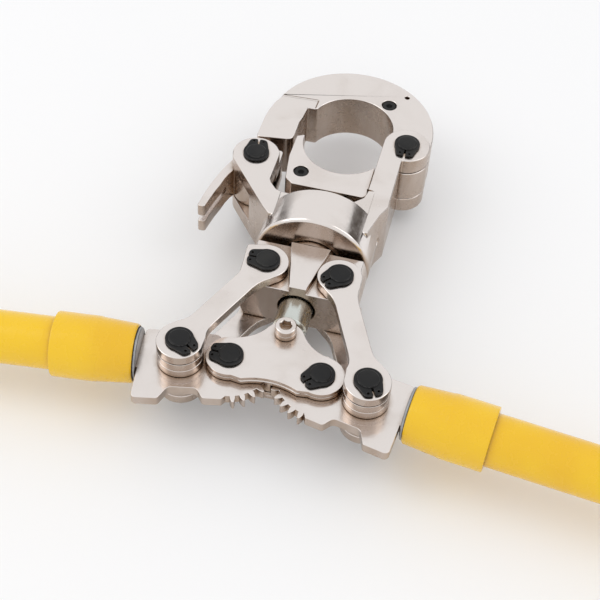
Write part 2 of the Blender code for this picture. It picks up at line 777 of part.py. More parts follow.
def latch_outline():
    """Latch round its pin: lobe, shoulder under the ring's end and curved thumb tail."""
    x0, y0 = CATCH_X, CATCH_Y
    lobe = arc(x0, y0, LATCH_LOBE_R, -150.0, -6.0)
    top = [(-29.8, 82.6), (-45.6, 82.6)]
    back = [(-50.0, 77.0), (-53.6, 68.0), (-57.4, 56.0), (-59.8, 45.0), (-61.0, 34.0)]
    front = [(-61.0 + TAIL_THICK, 34.6), (-55.3, 45.0), (-53.2, 54.0)]
    return [(x - x0, y - y0) for x, y in lobe + top + back + front]


def make_latch(parent):
    piece = plate("latch", latch_outline(), [], -TONGUE_HALF, TONGUE_HALF)
    place(piece, parent, nickel)
    pillar = [
        (-37.6, 78.0),
        (-37.6, 106.0),
        (-35.2, 106.6),
        (-35.2, 115.6),
        (-36.8, 117.6),
        (-41.2, 117.6),
        (-43.6, 108.0),
        (-44.6, 100.0),
        (-44.9, 78.0),
    ]
    pillar = [(x - CATCH_X, y - CATCH_Y) for x, y in pillar]
    join(piece, plate("latch_pillar", pillar, [], -PILLAR_HALF, PILLAR_HALF))
    cut(piece, cylinder("latch_pin_hole", PIN_D / 2.0 + PIN_PLAY, -20.0, 20.0))
    pocket = cylinder("latch_pocket", SPRING_POCKET_R, -SPRING_POCKET_HALF, SPRING_POCKET_HALF, segments=24)
    cut(piece, pocket)
    mouth_low = (0.0, -5.5, -SPRING_POCKET_HALF)
    mouth_high = (20.0, 9.0, SPRING_POCKET_HALF)
    cut(piece, box("latch_mouth", mouth_low, mouth_high))
    groove_low = (-30.0, -60.0, -1.8)
    groove_high = (-12.3, -8.0, 1.8)
    cut(piece, box("latch_tail_gap", groove_low, groove_high))
    return piece


def make_latch_spring(parent):
    """Torsion coil that lies round the latch pin."""
    curve = bpy.data.curves.new("latch_spring", "CURVE")
    curve.dimensions = "3D"
    curve.bevel_depth = SPRING_WIRE_D / 2.0 * MM
    curve.bevel_resolution = 1
    curve.use_fill_caps = True
    per_turn = 12
    count = SPRING_TURNS * per_turn
    span = 2.0 * (SPRING_POCKET_HALF - SPRING_WIRE_D / 2.0 - GAP)
    spline = curve.splines.new("POLY")
    spline.points.add(count)
    for i in range(count + 1):
        angle = 2.0 * math.pi * i / per_turn
        height = -span / 2.0 + span * i / count
        spot = (SPRING_R * math.cos(angle) * MM, SPRING_R * math.sin(angle) * MM, height * MM, 1.0)
        spline.points[i].co = spot
    piece = bpy.data.objects.new("latch_spring", curve)
    parts.objects.link(piece)
    piece.parent = parent
    piece.location = (CATCH_X * MM, CATCH_Y * MM, 0.0)
    curve.materials.append(steel)
    return piece


def make_push_rod(parent):
    """Round rod with a flat tongue between the centre plates, about the carriage point."""
    radius = ROD_D / 2.0
    base = ROD_SHOULDER_UP
    profile = [
        (0.0, ROD_TOP_UP),
        (radius - 0.8, ROD_TOP_UP),
        (radius, ROD_TOP_UP - 0.8),
        (radius, base + 1.0),
        (radius - 1.0, base),
        (0.0, base),
    ]
    piece = turned("push_rod", profile, 24, "Y")
    place(piece, parent, zinc)
    swing = PITCH_R + GEAR_MODULE + 0.5
    reach = 7.0
    side_y = math.sqrt(swing ** 2 - (LOWER_PIVOT_X - reach) ** 2)
    start = math.degrees(math.atan2(side_y, reach - LOWER_PIVOT_X))
    middle_y = math.sqrt(swing ** 2 - (LOWER_PIVOT_X - 1.0) ** 2)
    end = math.degrees(math.atan2(middle_y, 1.0 - LOWER_PIVOT_X))
    right = arc(LOWER_PIVOT_X, 0.0, swing, end, start, 6.0)
    left = [(-x, y) for x, y in reversed(right)]
    outline = left + right + [(reach, base + 3.0), (-reach, base + 3.0)]
    tongue = plate("rod_tongue", outline, [], -TONGUE_HALF_THICK, TONGUE_HALF_THICK)
    join(piece, tongue)
    cut(piece, cylinder("rod_screw_hole", SCREW_HOLE_D / 2.0, -20.0, 20.0, at=(0.0, SCREW_UP, 0.0)))
    return piece


def make_centre_plate(name, parent, front):
    low, high = (PLATE_LOW, PLATE_HIGH) if front else (-PLATE_HIGH, -PLATE_LOW)
    hole = PIN_D / 2.0 + PIN_PLAY
    holes = [circle(side * LOWER_PIVOT_X, 0.0, hole) for side in (1, -1)]
    holes.append(circle(0.0, SCREW_UP, SCREW_HOLE_D / 2.0, 16))
    return place(plate(name, plate_outline(), holes, low, high), parent, nickel)


def make_rod_screw(parent):
    """Socket-head screw with a nut end, through both plates and the rod's tongue."""
    head_low = PLATE_HIGH + GAP
    head_high = head_low + SCREW_HEAD_H
    tail = -PLATE_HIGH - 0.5
    half = SCREW_HEAD_D / 2.0
    profile = [
        (0.0, head_high),
        (half - 0.6, head_high),
        (half, head_high - 0.6),
        (half, head_low),
        (SCREW_D / 2.0, head_low),
        (SCREW_D / 2.0, tail),
        (0.0, tail),
    ]
    piece = turned("rod_screw", profile, 18)
    piece.location.y = SCREW_UP * MM
    place(piece, parent, nickel)
    socket_r = HEX_ACROSS / 2.0 / math.cos(math.radians(30.0))
    socket_at = (0.0, SCREW_UP, 0.0)
    low = head_high - HEX_DEPTH
    cut(piece, cylinder("rod_screw_socket", socket_r, low, head_high + 2.0, "Z", 6, socket_at))
    return piece


def make_bracket(name, parent, side):
    hole = circle(side * HANDLE_PIVOT_R, 0.0, CLEARANCE_HOLE_D / 2.0)
    pivot = circle(0.0, 0.0, PIN_D / 2.0 + PIN_PLAY)
    half = BRACKET_THICK / 2.0
    return place(plate(name, bracket_outline(side), [hole, pivot], -half, half), parent, nickel)


def make_spacer(name, parent, side, front):
    low, high = (PLATE_LOW, SPACER_HIGH) if front else (-SPACER_HIGH, -PLATE_LOW)
    hole = CLEARANCE_HOLE_D / 2.0
    edge = 0.5
    profile = [
        (hole, high),
        (SPACER_R - edge, high),
        (SPACER_R, high - edge),
        (SPACER_R, low + edge),
        (SPACER_R - edge, low),
        (hole, low),
    ]
    piece = turned(name, profile, 18, closed=True)
    piece.location.x = side * HANDLE_PIVOT_R * MM
    return place(piece, parent, nickel)


def tube_profile(outer, inner, start, end, chamfer=0.4):
    """Tube that runs from start to end along the handle."""
    return [
        (inner, end),
        (outer - chamfer, end),
        (outer, end - chamfer),
        (outer, start + chamfer),
        (outer - chamfer, start),
        (inner, start),
    ]


def along_handle(piece, side):
    piece.rotation_euler = (0.0, math.radians(90.0 * side), 0.0)
    return piece


def make_handle(label, grip_line, slide_line, side):
    """Socket ring, coated tube and collar on the bracket, with a telescopic grip end."""
    bore = TUBE_R - TUBE_WALL
    socket_out = bore - GAP
    socket = [
        (TANG_REACH + GAP, TUBE_START + 12.0),
        (socket_out, TUBE_START + 12.0),
        (socket_out, TUBE_START - GAP),
        (TUBE_R, TUBE_START - GAP),
        (TUBE_R, SOCKET_START + 0.4),
        (TUBE_R - 0.4, SOCKET_START),
        (TANG_REACH + GAP, SOCKET_START),
    ]
    piece = along_handle(turned("handle_socket_" + label, socket, 20, closed=True), side)
    place(piece, grip_line, steel)
    tube = tube_profile(TUBE_R, bore, TUBE_START, TUBE_END)
    piece = along_handle(turned("handle_tube_" + label, tube, 20, closed=True), side)
    place(piece, grip_line, yellow)
    sleeve = TUBE_R + GAP
    collar = [
        (sleeve, COLLAR_END),
        (COLLAR_R - 0.8, COLLAR_END),
        (COLLAR_R, COLLAR_END - 0.8),
        (COLLAR_R, COLLAR_TAPER_END + 1.5),
        (COLLAR_R - 0.25, COLLAR_TAPER_END),
        (sleeve + 0.9, TUBE_START + 0.6),
        (sleeve, TUBE_START + 0.2),
    ]
    piece = along_handle(turned("handle_collar_" + label, collar, 20, closed=True), side)
    place(piece, grip_line, yellow)
    inner_out = bore - GAP
    inner = tube_profile(inner_out, inner_out - INNER_TUBE_WALL, INNER_TUBE_START, GRIP_END)
    piece = along_handle(turned("inner_tube_" + label, inner, 20, closed=True), side)
    place(piece, slide_line, steel)
    grip = [(inner_out + GAP, GRIP_END), (GRIP_R - 1.0, GRIP_END), (GRIP_R, GRIP_END - 1.5)]
    ribs = 5
    pitch = (GRIP_END - GRIP_START - 20.0) / ribs
    for i in range(ribs):
        top = GRIP_END - 10.0 - i * pitch
        grip.extend([(GRIP_R, top), (GRIP_R - 1.0, top - 2.0), (GRIP_R, top - 4.0)])
    grip.extend([(GRIP_R, GRIP_START + 2.0), (GRIP_R - 1.2, GRIP_START), (inner_out + GAP, GRIP_START)])
    piece = along_handle(turned("grip_" + label, grip, 16, closed=True), side)
    place(piece, slide_line, rubber)
    plug = inner_out - INNER_TUBE_WALL - GAP
    cap = [
        (0.0, GRIP_END + CAP_LENGTH),
        (GRIP_R - 4.0, GRIP_END + CAP_LENGTH),
        (GRIP_R - 1.0, GRIP_END + CAP_LENGTH * 0.55),
        (GRIP_R - 0.4, GRIP_END + GAP),
        (plug, GRIP_END + GAP),
        (plug, GRIP_END - 14.0),
        (0.0, GRIP_END - 14.0),
    ]
    piece = along_handle(turned("grip_cap_" + label, cap, 16), side)
    place(piece, slide_line, rubber)


def build_head(base):
    head_axis = frame_point("head_axis", base, 0.0, 0.0)
    make_head(head_axis)
    make_set_screw(head_axis)
    face = ARM_HALF_THICK
    ring_low = face + GAP
    end = ring_low + RING_THICK + 1.0
    pin("hinge_pin", head_axis, HINGE_X, HINGE_Y, end, ring_low)
    pin("latch_pin", head_axis, CATCH_X, CATCH_Y, end, ring_low)
    ring_pair("hinge_circlip", head_axis, HINGE_X, HINGE_Y, face, -90.0)
    ring_pair("latch_circlip", head_axis, CATCH_X, CATCH_Y, face, 95.0)
    jaw_axis = frame_point("jaw_axis", head_axis, HINGE_X, HINGE_Y)
    make_jaw(jaw_axis)
    make_plug("jaw_plug", jaw_axis, JAW_PLUG[0] - HINGE_X, JAW_PLUG[1] - HINGE_Y)
    latch_axis = frame_point("latch_axis", head_axis, CATCH_X, CATCH_Y)
    make_latch(latch_axis)
    make_latch_spring(head_axis)
    holder_line = frame_point("holder_line", head_axis, 0.0, RAM_REST)
    make_holder(holder_line)
    make_plug("holder_plug", holder_line, *HOLDER_PLUG)


def build_carriage(base):
    carriage = frame_point("carriage", base, 0.0, CARRIAGE_Y)
    make_push_rod(carriage)
    make_centre_plate("centre_plate_front", carriage, True)
    make_centre_plate("centre_plate_back", carriage, False)
    make_rod_screw(carriage)
    ring_low = PLATE_HIGH + GAP
    turns = {"left": 180.0, "right": 225.0}
    for label, side in (("left", -1), ("right", 1)):
        x = side * LOWER_PIVOT_X
        pin("gear_pin_" + label, carriage, x, 0.0, SHORT_PIN_END, ring_low)
        ring_pair("gear_circlip_" + label, carriage, x, 0.0, PLATE_HIGH, turns[label])
        build_handle_side(carriage, label, side)


def build_handle_side(carriage, label, side):
    turn = -side * HANDLE_OPEN_ANGLE
    axis = frame_point("bracket_axis_" + label, carriage, side * LOWER_PIVOT_X, 0.0, 0.0, turn)
    make_bracket("bracket_" + label, axis, side)
    make_spacer("spacer_%s_front" % label, axis, side, True)
    make_spacer("spacer_%s_back" % label, axis, side, False)
    line = frame_point("handle_line_" + label, axis, 0.0, 0.0, 0.0, side * HANDLE_TILT)
    slide = frame_point("extension_line_" + label, line, 0.0, 0.0)
    make_handle(label, line, slide, side)


def build_links(base):
    turns = {"left": (180.0, -35.0), "right": (225.0, -60.0)}
    ring_low = LINK_HIGH + GAP
    for label, side in (("left", -1), ("right", 1)):
        pin("yoke_pin_" + label, base, side * UPPER_PIVOT_X, 0.0, LONG_PIN_END, ring_low)
        upper_turn, lower_turn = turns[label]
        ring_pair("yoke_circlip_" + label, base, side * UPPER_PIVOT_X, 0.0, LINK_HIGH, upper_turn)
        axis = frame_point("link_axis_" + label, base, side * UPPER_PIVOT_X, 0.0, 0.0, side * LINK_ANGLE)
        make_link("link_%s_front" % label, axis, side, True, side < 0)
        make_link("link_%s_back" % label, axis, side, False, side > 0)
        pin("handle_pin_" + label, axis, 0.0, -LINK_LENGTH, LONG_PIN_END, ring_low)
        turn = lower_turn - side * LINK_ANGLE
        ring_pair("handle_circlip_" + label, axis, 0.0, -LINK_LENGTH, LINK_HIGH, turn)


def set_origin(base):
    """Put the world's origin under the middle of the tool, on what it lies on."""
    bpy.context.view_layer.update()
    graph = bpy.context.evaluated_depsgraph_get()
    low = Vector((1e9, 1e9, 1e9))
    high = -low
    for piece in parts.objects:
        if piece.type == "EMPTY":
            continue
        shape = piece.evaluated_get(graph)
        mesh = shape.to_mesh()
        for vert in mesh.vertices:
            spot = shape.matrix_world @ vert.co
            low = Vector([min(a, b) for a, b in zip(low, spot)])
            high = Vector([max(a, b) for a, b in zip(high, spot)])
        shape.to_mesh_clear()
    base.location = (-(low.x + high.x) / 2.0, -(low.y + high.y) / 2.0, -low.z)
    bpy.context.view_layer.update()


clear_scene()
parts = new_collection("pipe_press_tool")
cutters = new_collection("cutters")
nickel = make_material("satin_nickel", NICKEL)
black = make_material("black_oxide", BLACK_OXIDE)
zinc = make_material("zinc_plate", ZINC)
yellow = make_material("yellow_coating", YELLOW)
steel = make_material("bare_steel", BARE_STEEL)
rubber = make_material("black_rubber", RUBBER)

tool_base = bpy.data.objects.new("tool_base", None)
parts.objects.link(tool_base)
make_yoke(tool_base)
build_links(tool_base)
build_carriage(tool_base)
build_head(tool_base)
for piece in parts.objects:
    if piece.type == "MESH":
        smooth_round(piece)
set_origin(tool_base)
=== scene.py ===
"""Hand press tool with geared toggle handles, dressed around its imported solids.

Every piece is drawn again with fine curves and rounded edges, in the tool's own
coordinates: millimetres, +Y from the handles to the press ring, +Z along the pivot pins.
"""
import json
import math

import bmesh
import bpy
from mathutils import Matrix, Vector


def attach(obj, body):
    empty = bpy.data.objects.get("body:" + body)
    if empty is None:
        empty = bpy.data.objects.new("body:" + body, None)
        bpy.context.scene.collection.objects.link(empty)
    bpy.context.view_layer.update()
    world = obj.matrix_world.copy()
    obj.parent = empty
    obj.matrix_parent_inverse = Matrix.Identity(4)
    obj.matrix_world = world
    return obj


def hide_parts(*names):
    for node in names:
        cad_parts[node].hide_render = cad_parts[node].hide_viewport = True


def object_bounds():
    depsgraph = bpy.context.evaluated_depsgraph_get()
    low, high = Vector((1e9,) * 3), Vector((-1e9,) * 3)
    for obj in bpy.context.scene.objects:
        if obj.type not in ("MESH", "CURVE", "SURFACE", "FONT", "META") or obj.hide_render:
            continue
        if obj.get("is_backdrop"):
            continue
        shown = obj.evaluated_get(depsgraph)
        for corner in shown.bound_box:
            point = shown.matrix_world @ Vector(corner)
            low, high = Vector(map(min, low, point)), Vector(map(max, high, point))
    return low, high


bl_info = {
    "name": "Hand Press Tool",
    "version": (1, 0, 0),
    "blender": (4, 5, 0),
    "location": "3D View > Sidebar > Press Tool",
    "description": "Builds a hand press tool with geared toggle handles",
    "category": "Object",
}

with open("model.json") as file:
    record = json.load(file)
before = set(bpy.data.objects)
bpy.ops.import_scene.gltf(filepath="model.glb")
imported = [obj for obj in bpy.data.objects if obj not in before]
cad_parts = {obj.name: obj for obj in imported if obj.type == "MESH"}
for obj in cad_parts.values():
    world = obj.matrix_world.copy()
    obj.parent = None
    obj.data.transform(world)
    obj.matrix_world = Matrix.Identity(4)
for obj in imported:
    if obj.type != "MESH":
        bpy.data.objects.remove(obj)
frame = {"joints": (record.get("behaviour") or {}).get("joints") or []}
CAD_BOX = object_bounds()
JOINTS = {joint["name"]: joint for joint in frame["joints"]}

MM = 0.001
GAP = 0.3
PIVOT_Y, PIVOT_Z = JOINTS["link_left_turn"]["pos_m"][1:]
ORIGIN = Vector((0.0, PIVOT_Y, PIVOT_Z))
CARRIAGE_Y = (JOINTS["bracket_left_turn"]["pos_m"][1] - PIVOT_Y) / MM

# Sizes in millimetres, as in the solids apart from the spigot and the links' shoulder.
# Pins and pivots
PIN_R = 5.0
HOLE_R = 5.3
LONG_PIN_END = 18.8
SHORT_PIN_END = 9.4
UPPER_PIVOT_X = 17.5
LOWER_PIVOT_X = 21.0
HANDLE_PIVOT_R = 22.0
LINK_LENGTH = 61.5
HANDLE_OPEN_ANGLE = 12.0
HANDLE_TILT = 5.5
# Toggle links
LINK_LOW, LINK_HIGH = 11.5, 16.5
LINK_EYE_R = 10.5
LINK_WAIST = 5.4
LINK_SHOULDER = 13.2
# Gear teeth
GEAR_TEETH = 28
GEAR_MODULE = 1.5
PITCH_R = GEAR_TEETH * GEAR_MODULE / 2.0
ROOT_R = PITCH_R - 1.25 * GEAR_MODULE
TOOTH_PITCH = 360.0 / GEAR_TEETH
PRESSURE_ANGLE = 20.0
TOOTH_THINNING = 0.3
# Handle brackets
BRACKET_HALF = 2.5
BRACKET_END = 40.2
BRACKET_TOP = 17.0
BRACKET_LAND = 21.0
BRACKET_LUG = 22.2
NOTCH_TOP = 15.6
CLEARANCE_R = 8.0
TANG_HALF = 9.4
TANG_END = 62.0
# Centre plates, their screw and the spacers
PLATE_LOW, PLATE_HIGH = 2.8, 7.1
PLATE_LOBE_R = 10.8
PLATE_TOP_R = 9.5
PLATE_TOP_UP = 16.4
PLATE_HOLLOW_R = 20.0
SCREW_UP = 19.2
SCREW_HOLE_R = 3.3
SPACER_R = 10.5
SPACER_HIGH = 11.2
# Yoke and its spigot
YOKE_R = 28.0
YOKE_TOP, YOKE_BOTTOM = 17.0, -11.0
YOKE_HALF_THICK = 11.2
WEB_HALF_THICK = 14.5
SPIGOT_R = 14.2
SPIGOT_TOP = 46.0
SPIGOT_GROOVE_Y = 41.0
SPIGOT_GROOVE_W = 5.6
SPIGOT_GROOVE_D = 1.6
# Push rod
ROD_R = 8.0
ROD_SHOULDER_UP = 26.6
ROD_BORE_R = 9.0
ROD_HALF_WIDTH = 7.0
# Head
HEAD_R = 28.2
HEAD_BOTTOM = 19.5
ARM_HALF_THICK = 17.5
ARM_SLOT_HALF = 9.0
LOBE_R = 11.7
HINGE = (31.0, 95.0)
CATCH = (-40.5, 68.0)
WINDOW_RIGHT = 18.6
WINDOW_LEFT = -29.3
# Press ring
RING_Y = 107.0
RING_BORE_R = 21.5
RING_OUTER_R = 42.5
RING_HALF_THICK = 12.0
TONGUE_HALF = 8.7
TONGUE_R = 11.9
# Die holder and the two plugs
RAM_STROKE = 14.2
HOLDER_BOTTOM = 72.0
HOLDER_RIGHT = 18.0
ROD_TOP_UP = HOLDER_BOTTOM - RAM_STROKE - CARRIAGE_Y - GAP
JAW_PLUG = (15.7, 128.9)
HOLDER_PLUG = (-17.2, 81.8)
PLUG_SEAT_LOW = 8.0
PLUG_SEAT_R = 3.8
PLUG_R = 3.5
# Latch and its spring
LATCH_LOBE_R = 11.2
PILLAR_HALF = 6.0
SPRING_HALF = 3.9
SPRING_POCKET_R = 8.9
COIL_R = 7.4
WIRE_R = 0.7
# Handles
TUBE_R = 12.2
TUBE_BORE_R = 10.7
TUBE_START = 43.8
TUBE_END = 350.0
SOCKET_START = 40.8
COLLAR_R = 15.0
COLLAR_TAPER_END = 58.5
COLLAR_END = 79.5
INNER_START = 150.0
INNER_R = 10.4
INNER_BORE_R = 8.9
GRIP_R = 14.5
GRIP_START, GRIP_END = 354.0, 478.0
GRIP_RIBS = 14
# Retaining rings
CLIP_THICK = 1.0
CLIP_EYE_R = 0.62
# How far a cutting tool reaches past its piece
BEYOND = 40.0

OPEN_RAD = math.radians(HANDLE_OPEN_ANGLE)
LINK_FOOT_X = LOWER_PIVOT_X + HANDLE_PIVOT_R * math.cos(OPEN_RAD)
LINK_ANGLE = math.degrees(math.asin((LINK_FOOT_X - UPPER_PIVOT_X) / LINK_LENGTH))
SIDES = (("left", -1), ("right", 1))
FACES = (("front", 1), ("back", -1))

# Limits of the drawing, and colours that go with a finish
SAME_POINT = 0.03
CORNER_STEP = 10.0
WELD = 0.000002
CUT_WELD = 0.00001
FLAT = math.radians(0.2)
SHARP = math.radians(28.0)
BUMP_DEPTH = 0.00008
# Stain colours of zinc and bare steel, also used as painted shade in their hollows.
ZINC_STAIN_AND_SHADE = (0.38, 0.37, 0.26)
STEEL_STAIN_AND_SHADE = (0.12, 0.1, 0.09)
OXIDE_STAIN = (0.035, 0.033, 0.03)
WORN_OXIDE = (0.16, 0.15, 0.145)
COATING_SHADE = (0.93, 0.86, 0.8)
# Painted shade for the hollows of the yellow coating.
COATING_HOLLOW_SHADE = (0.36, 0.19, 0.02)
RUBBER_DUST = (0.05, 0.047, 0.044)


class PressToolSizes(bpy.types.PropertyGroup):
    edge_round: bpy.props.FloatProperty(
        name="Edge rounding", description="Radius on the edges of the machined pieces",
        default=0.00035, min=0.0, unit="LENGTH")
    forged_round: bpy.props.FloatProperty(
        name="Forged edge rounding", description="Radius on the edges of the head and the ring",
        default=0.0006, min=0.0, unit="LENGTH")
    tooth_round: bpy.props.FloatProperty(
        name="Tooth rounding", description="Radius on the edges of the gear teeth",
        default=0.0002, min=0.0, unit="LENGTH")
    arc_step: bpy.props.FloatProperty(
        name="Arc step", description="Turn between two points of a drawn arc",
        default=math.radians(4.0), subtype="ANGLE")


class PressToolColours(bpy.types.PropertyGroup):
    nickel: bpy.props.FloatVectorProperty(
        name="Nickel", description="Satin nickel plate", subtype="COLOR", size=3,
        default=(0.83, 0.775, 0.745), min=0.0, max=1.0)
    # Warm brown used for cloudy stains and pits, and also as painted shade in corners, hollows and
    # on the walls.
    stain_and_shade: bpy.props.FloatVectorProperty(
        name="Stain", description="Warm brown film in corners and hollows", subtype="COLOR", size=3,
        default=(0.30, 0.19, 0.105), min=0.0, max=1.0)
    oxide: bpy.props.FloatVectorProperty(
        name="Black oxide", description="Pins, retaining rings and plugs", subtype="COLOR", size=3,
        default=(0.006, 0.006, 0.0065), min=0.0, max=1.0)
    zinc: bpy.props.FloatVectorProperty(
        name="Zinc", description="Push rod plating", subtype="COLOR", size=3,
        default=(0.68, 0.71, 0.68), min=0.0, max=1.0)
    coating: bpy.props.FloatVectorProperty(
        name="Handle coating", description="Yellow sleeve on the handles", subtype="COLOR", size=3,
        default=(0.86, 0.535, 0.003), min=0.0, max=1.0)
    steel: bpy.props.FloatVectorProperty(
        name="Bare steel", description="Handle sockets and inner tubes", subtype="COLOR", size=3,
        default=(0.42, 0.43, 0.44), min=0.0, max=1.0)
    rubber: bpy.props.FloatVectorProperty(
        name="Rubber", description="Grips and end caps", subtype="COLOR", size=3,
        default=(0.02, 0.02, 0.02), min=0.0, max=1.0)


# ---------------------------------------------------------------- drawing


def on_circle(cx, cy, radius, angle):
    """Point on a circle, at an angle in radians."""
    return cx + radius * math.cos(angle), cy + radius * math.sin(angle)


def arc(cx, cy, radius, start, end):
    """Points on an arc between two angles in degrees, both ends included."""
    step = math.degrees(bpy.context.scene.press_tool_sizes.arc_step)
    count = max(2, int(math.ceil(abs(end - start) / step)) + 1)
    turns = [math.radians(start + (end - start) * i / (count - 1)) for i in range(count)]
    return [on_circle(cx, cy, radius, turn) for turn in turns]


def circle(cx, cy, radius, count=64):
    """Points round a whole circle."""
    return [on_circle(cx, cy, radius, 2.0 * math.pi * i / count) for i in range(count)]


def rounded(corners):
    """Outline through corners (x, y, radius), each corner turned by an arc of its radius."""
    points = []
    for i, (x, y, radius) in enumerate(corners):
        if radius <= 0.0:
            points.append((x, y))
            continue
        here = Vector((x, y))
        before = Vector(corners[i - 1][:2]) - here
        after = Vector(corners[(i + 1) % len(corners)][:2]) - here
        half = before.angle(after) / 2.0
        reach = min(radius / math.tan(half), 0.49 * before.length, 0.49 * after.length)
        fitted = reach * math.tan(half)
        middle = (before.normalized() + after.normalized()).normalized()
        centre = here + middle * (fitted / math.sin(half))
        first = here + before.normalized() * reach - centre
        last = here + after.normalized() * reach - centre
        turn = first.angle_signed(last)
        start = math.atan2(first.y, first.x)
        steps = max(1, int(math.ceil(math.degrees(abs(turn)) / CORNER_STEP)))
        for k in range(steps + 1):
            points.append(on_circle(centre.x, centre.y, fitted, start - turn * k / steps))
    return points


def flipped(points):
    """Points on the other side of the centre line, in the order that keeps an outline's turn."""
    return [(-x, y) for x, y in reversed(points)]


def mirrored(points, side):
    """Outline drawn for the right side, on the side that is asked for."""
    return list(points) if side > 0 else flipped(points)


def drop_repeats(points):
    """Outline without points that lie on the one before them."""
    kept = []
    for point in points:
        if not kept or math.dist(kept[-1], point) > SAME_POINT:
            kept.append(point)
    if math.dist(kept[0], kept[-1]) < SAME_POINT:
        kept.pop()
    return kept


def add_object(name, data):
    """New object in the scene."""
    item = bpy.data.objects.new(name, data)
    bpy.context.scene.collection.objects.link(item)
    return item


def worked_out(item):
    """Mesh of a curve, or of a piece with its modifiers, ready for more work."""
    bpy.context.view_layer.update()
    graph = bpy.context.evaluated_depsgraph_get()
    mesh = bpy.data.meshes.new_from_object(item.evaluated_get(graph))
    work = bmesh.new()
    work.from_mesh(mesh)
    bpy.data.meshes.remove(mesh)
    return work


def weld(work, distance):
    """Join points that meet, and neighbouring faces that are flat together."""
    bmesh.ops.remove_doubles(work, verts=work.verts, dist=distance)
    bmesh.ops.dissolve_limit(work, angle_limit=FLAT, verts=work.verts, edges=work.edges)


def new_piece(name, work):
    """Object from a bmesh, with its flat faces joined and all faces turned outwards."""
    weld(work, WELD)
    bmesh.ops.recalc_face_normals(work, faces=work.faces)
    mesh = bpy.data.meshes.new(name)
    work.to_mesh(mesh)
    work.free()
    return add_object(name, mesh)


def prism(name, outline, low, high, holes=()):
    """Flat piece from a filled outline, from height low to height high."""
    curve = bpy.data.curves.new(name, "CURVE")
    curve.dimensions = "2D"
    curve.fill_mode = "BOTH"
    curve.extrude = (high - low) / 2.0 * MM
    for loop in [outline] + list(holes):
        loop = drop_repeats(loop)
        spline = curve.splines.new("POLY")
        spline.points.add(len(loop) - 1)
        for point, (x, y) in zip(spline.points, loop):
            point.co = (x * MM, y * MM, 0.0, 1.0)
        spline.use_cyclic_u = True
    drawn = add_object(name + "_outline", curve)
    work = worked_out(drawn)
    bpy.data.objects.remove(drawn, do_unlink=True)
    bpy.data.curves.remove(curve)
    bmesh.ops.translate(work, verts=work.verts, vec=(0.0, 0.0, (high + low) / 2.0 * MM))
    return new_piece(name, work)


TURNS = {
    "Z": Matrix.Identity(4),
    "Y": Matrix.Rotation(math.radians(-90.0), 4, "X"),
    "X": Matrix.Rotation(math.radians(90.0), 4, "Y"),
}


def lathe(name, profile, segments=72, axis="Z", closed=False, at=(0.0, 0.0, 0.0)):
    """Turned piece from (radius, height) points down its outer side."""
    work = bmesh.new()
    turns = [2.0 * math.pi * k / segments for k in range(segments)]
    rings = []
    for radius, height in profile:
        if radius < 0.001:
            rings.append([work.verts.new((0.0, 0.0, height * MM))])
        else:
            spots = [on_circle(0.0, 0.0, radius * MM, turn) for turn in turns]
            rings.append([work.verts.new((*spot, height * MM)) for spot in spots])
    pairs = list(zip(rings, rings[1:]))
    if closed:
        pairs.append((rings[-1], rings[0]))
    for a, b in pairs:
        for k in range(segments):
            n = (k + 1) % segments
            if len(a) == 1:
                work.faces.new((a[0], b[k], b[n]))
            elif len(b) == 1:
                work.faces.new((a[k], b[0], a[n]))
            else:
                work.faces.new((a[k], b[k], b[n], a[n]))
    bmesh.ops.transform(work, matrix=TURNS[axis], verts=work.verts)
    bmesh.ops.translate(work, vec=Vector(at) * MM, verts=work.verts)
    return new_piece(name, work)


def cylinder(name, radius, low, high, axis="Z", at=(0.0, 0.0, 0.0), segments=72):
    """Round bar, mostly used to cut a hole."""
    profile = [(0.0, high), (radius, high), (radius, low), (0.0, low)]
    return lathe(name, profile, segments, axis, at=at)


def block(name, low, high):
    """Box between two corners."""
    work = bmesh.new()
    bmesh.ops.create_cube(work, size=1.0)
    for vert in work.verts:
        vert.co = [
            (vert.co[i] * (high[i] - low[i]) + (high[i] + low[i]) / 2.0) * MM for i in range(3)]
    return new_piece(name, work)


def shape(piece, operation, *tools):
    """Cut the tools out of a piece, or join them to it, and drop the tools."""
    for tool in tools:
        step = piece.modifiers.new(tool.name, "BOOLEAN")
        step.operation = operation
        step.solver = "EXACT"
        step.object = tool
    work = worked_out(piece)
    piece.modifiers.clear()
    weld(work, CUT_WELD)
    work.to_mesh(piece.data)
    work.free()
    for tool in tools:
        bpy.data.objects.remove(tool, do_unlink=True)
    return piece


def cut(piece, *tools):
    return shape(piece, "DIFFERENCE", *tools)


def join(piece, *tools):
    return shape(piece, "UNION", *tools)


def turn_about_z(degrees, x=0.0, y=0.0, z=0.0):
    """Place in the tool: a point in millimetres and a turn about the pins' direction."""
    spot = ORIGIN + Vector((x, y, z)) * MM
    return Matrix.Translation(spot) @ Matrix.Rotation(math.radians(degrees), 4, "Z")


def finish(piece, place, body, slot, edge, *nodes):
    """Put a piece in its place, round its edges, and give it its finish and its body."""
    piece.data.transform(place)
    piece.data.shade_smooth()
    if edge > 0.0:
        rounding = piece.modifiers.new("Rounded edges", "BEVEL")
        rounding.width = edge
        rounding.segments = 2
        rounding.limit_method = "ANGLE"
        rounding.angle_limit = SHARP
        rounding.use_clamp_overlap = False
        rounding.loop_slide = False
    normals = piece.modifiers.new("Flat faces", "WEIGHTED_NORMAL")
    normals.mode = "FACE_AREA"
    normals.weight = 80
    normals.keep_sharp = True
    piece.data.materials.clear()
    piece.data.materials.append(bpy.data.materials[slot + "_finish"])
    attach(piece, body)
    if nodes:
        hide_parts(*nodes)
    return piece


# ---------------------------------------------------------------- materials


def add_node(tree, kind, **values):
    node = tree.nodes.new("ShaderNode" + kind)
    for key, value in values.items():
        if key in node.inputs:
            node.inputs[key].default_value = value
        else:
            setattr(node, key, value)
    return node


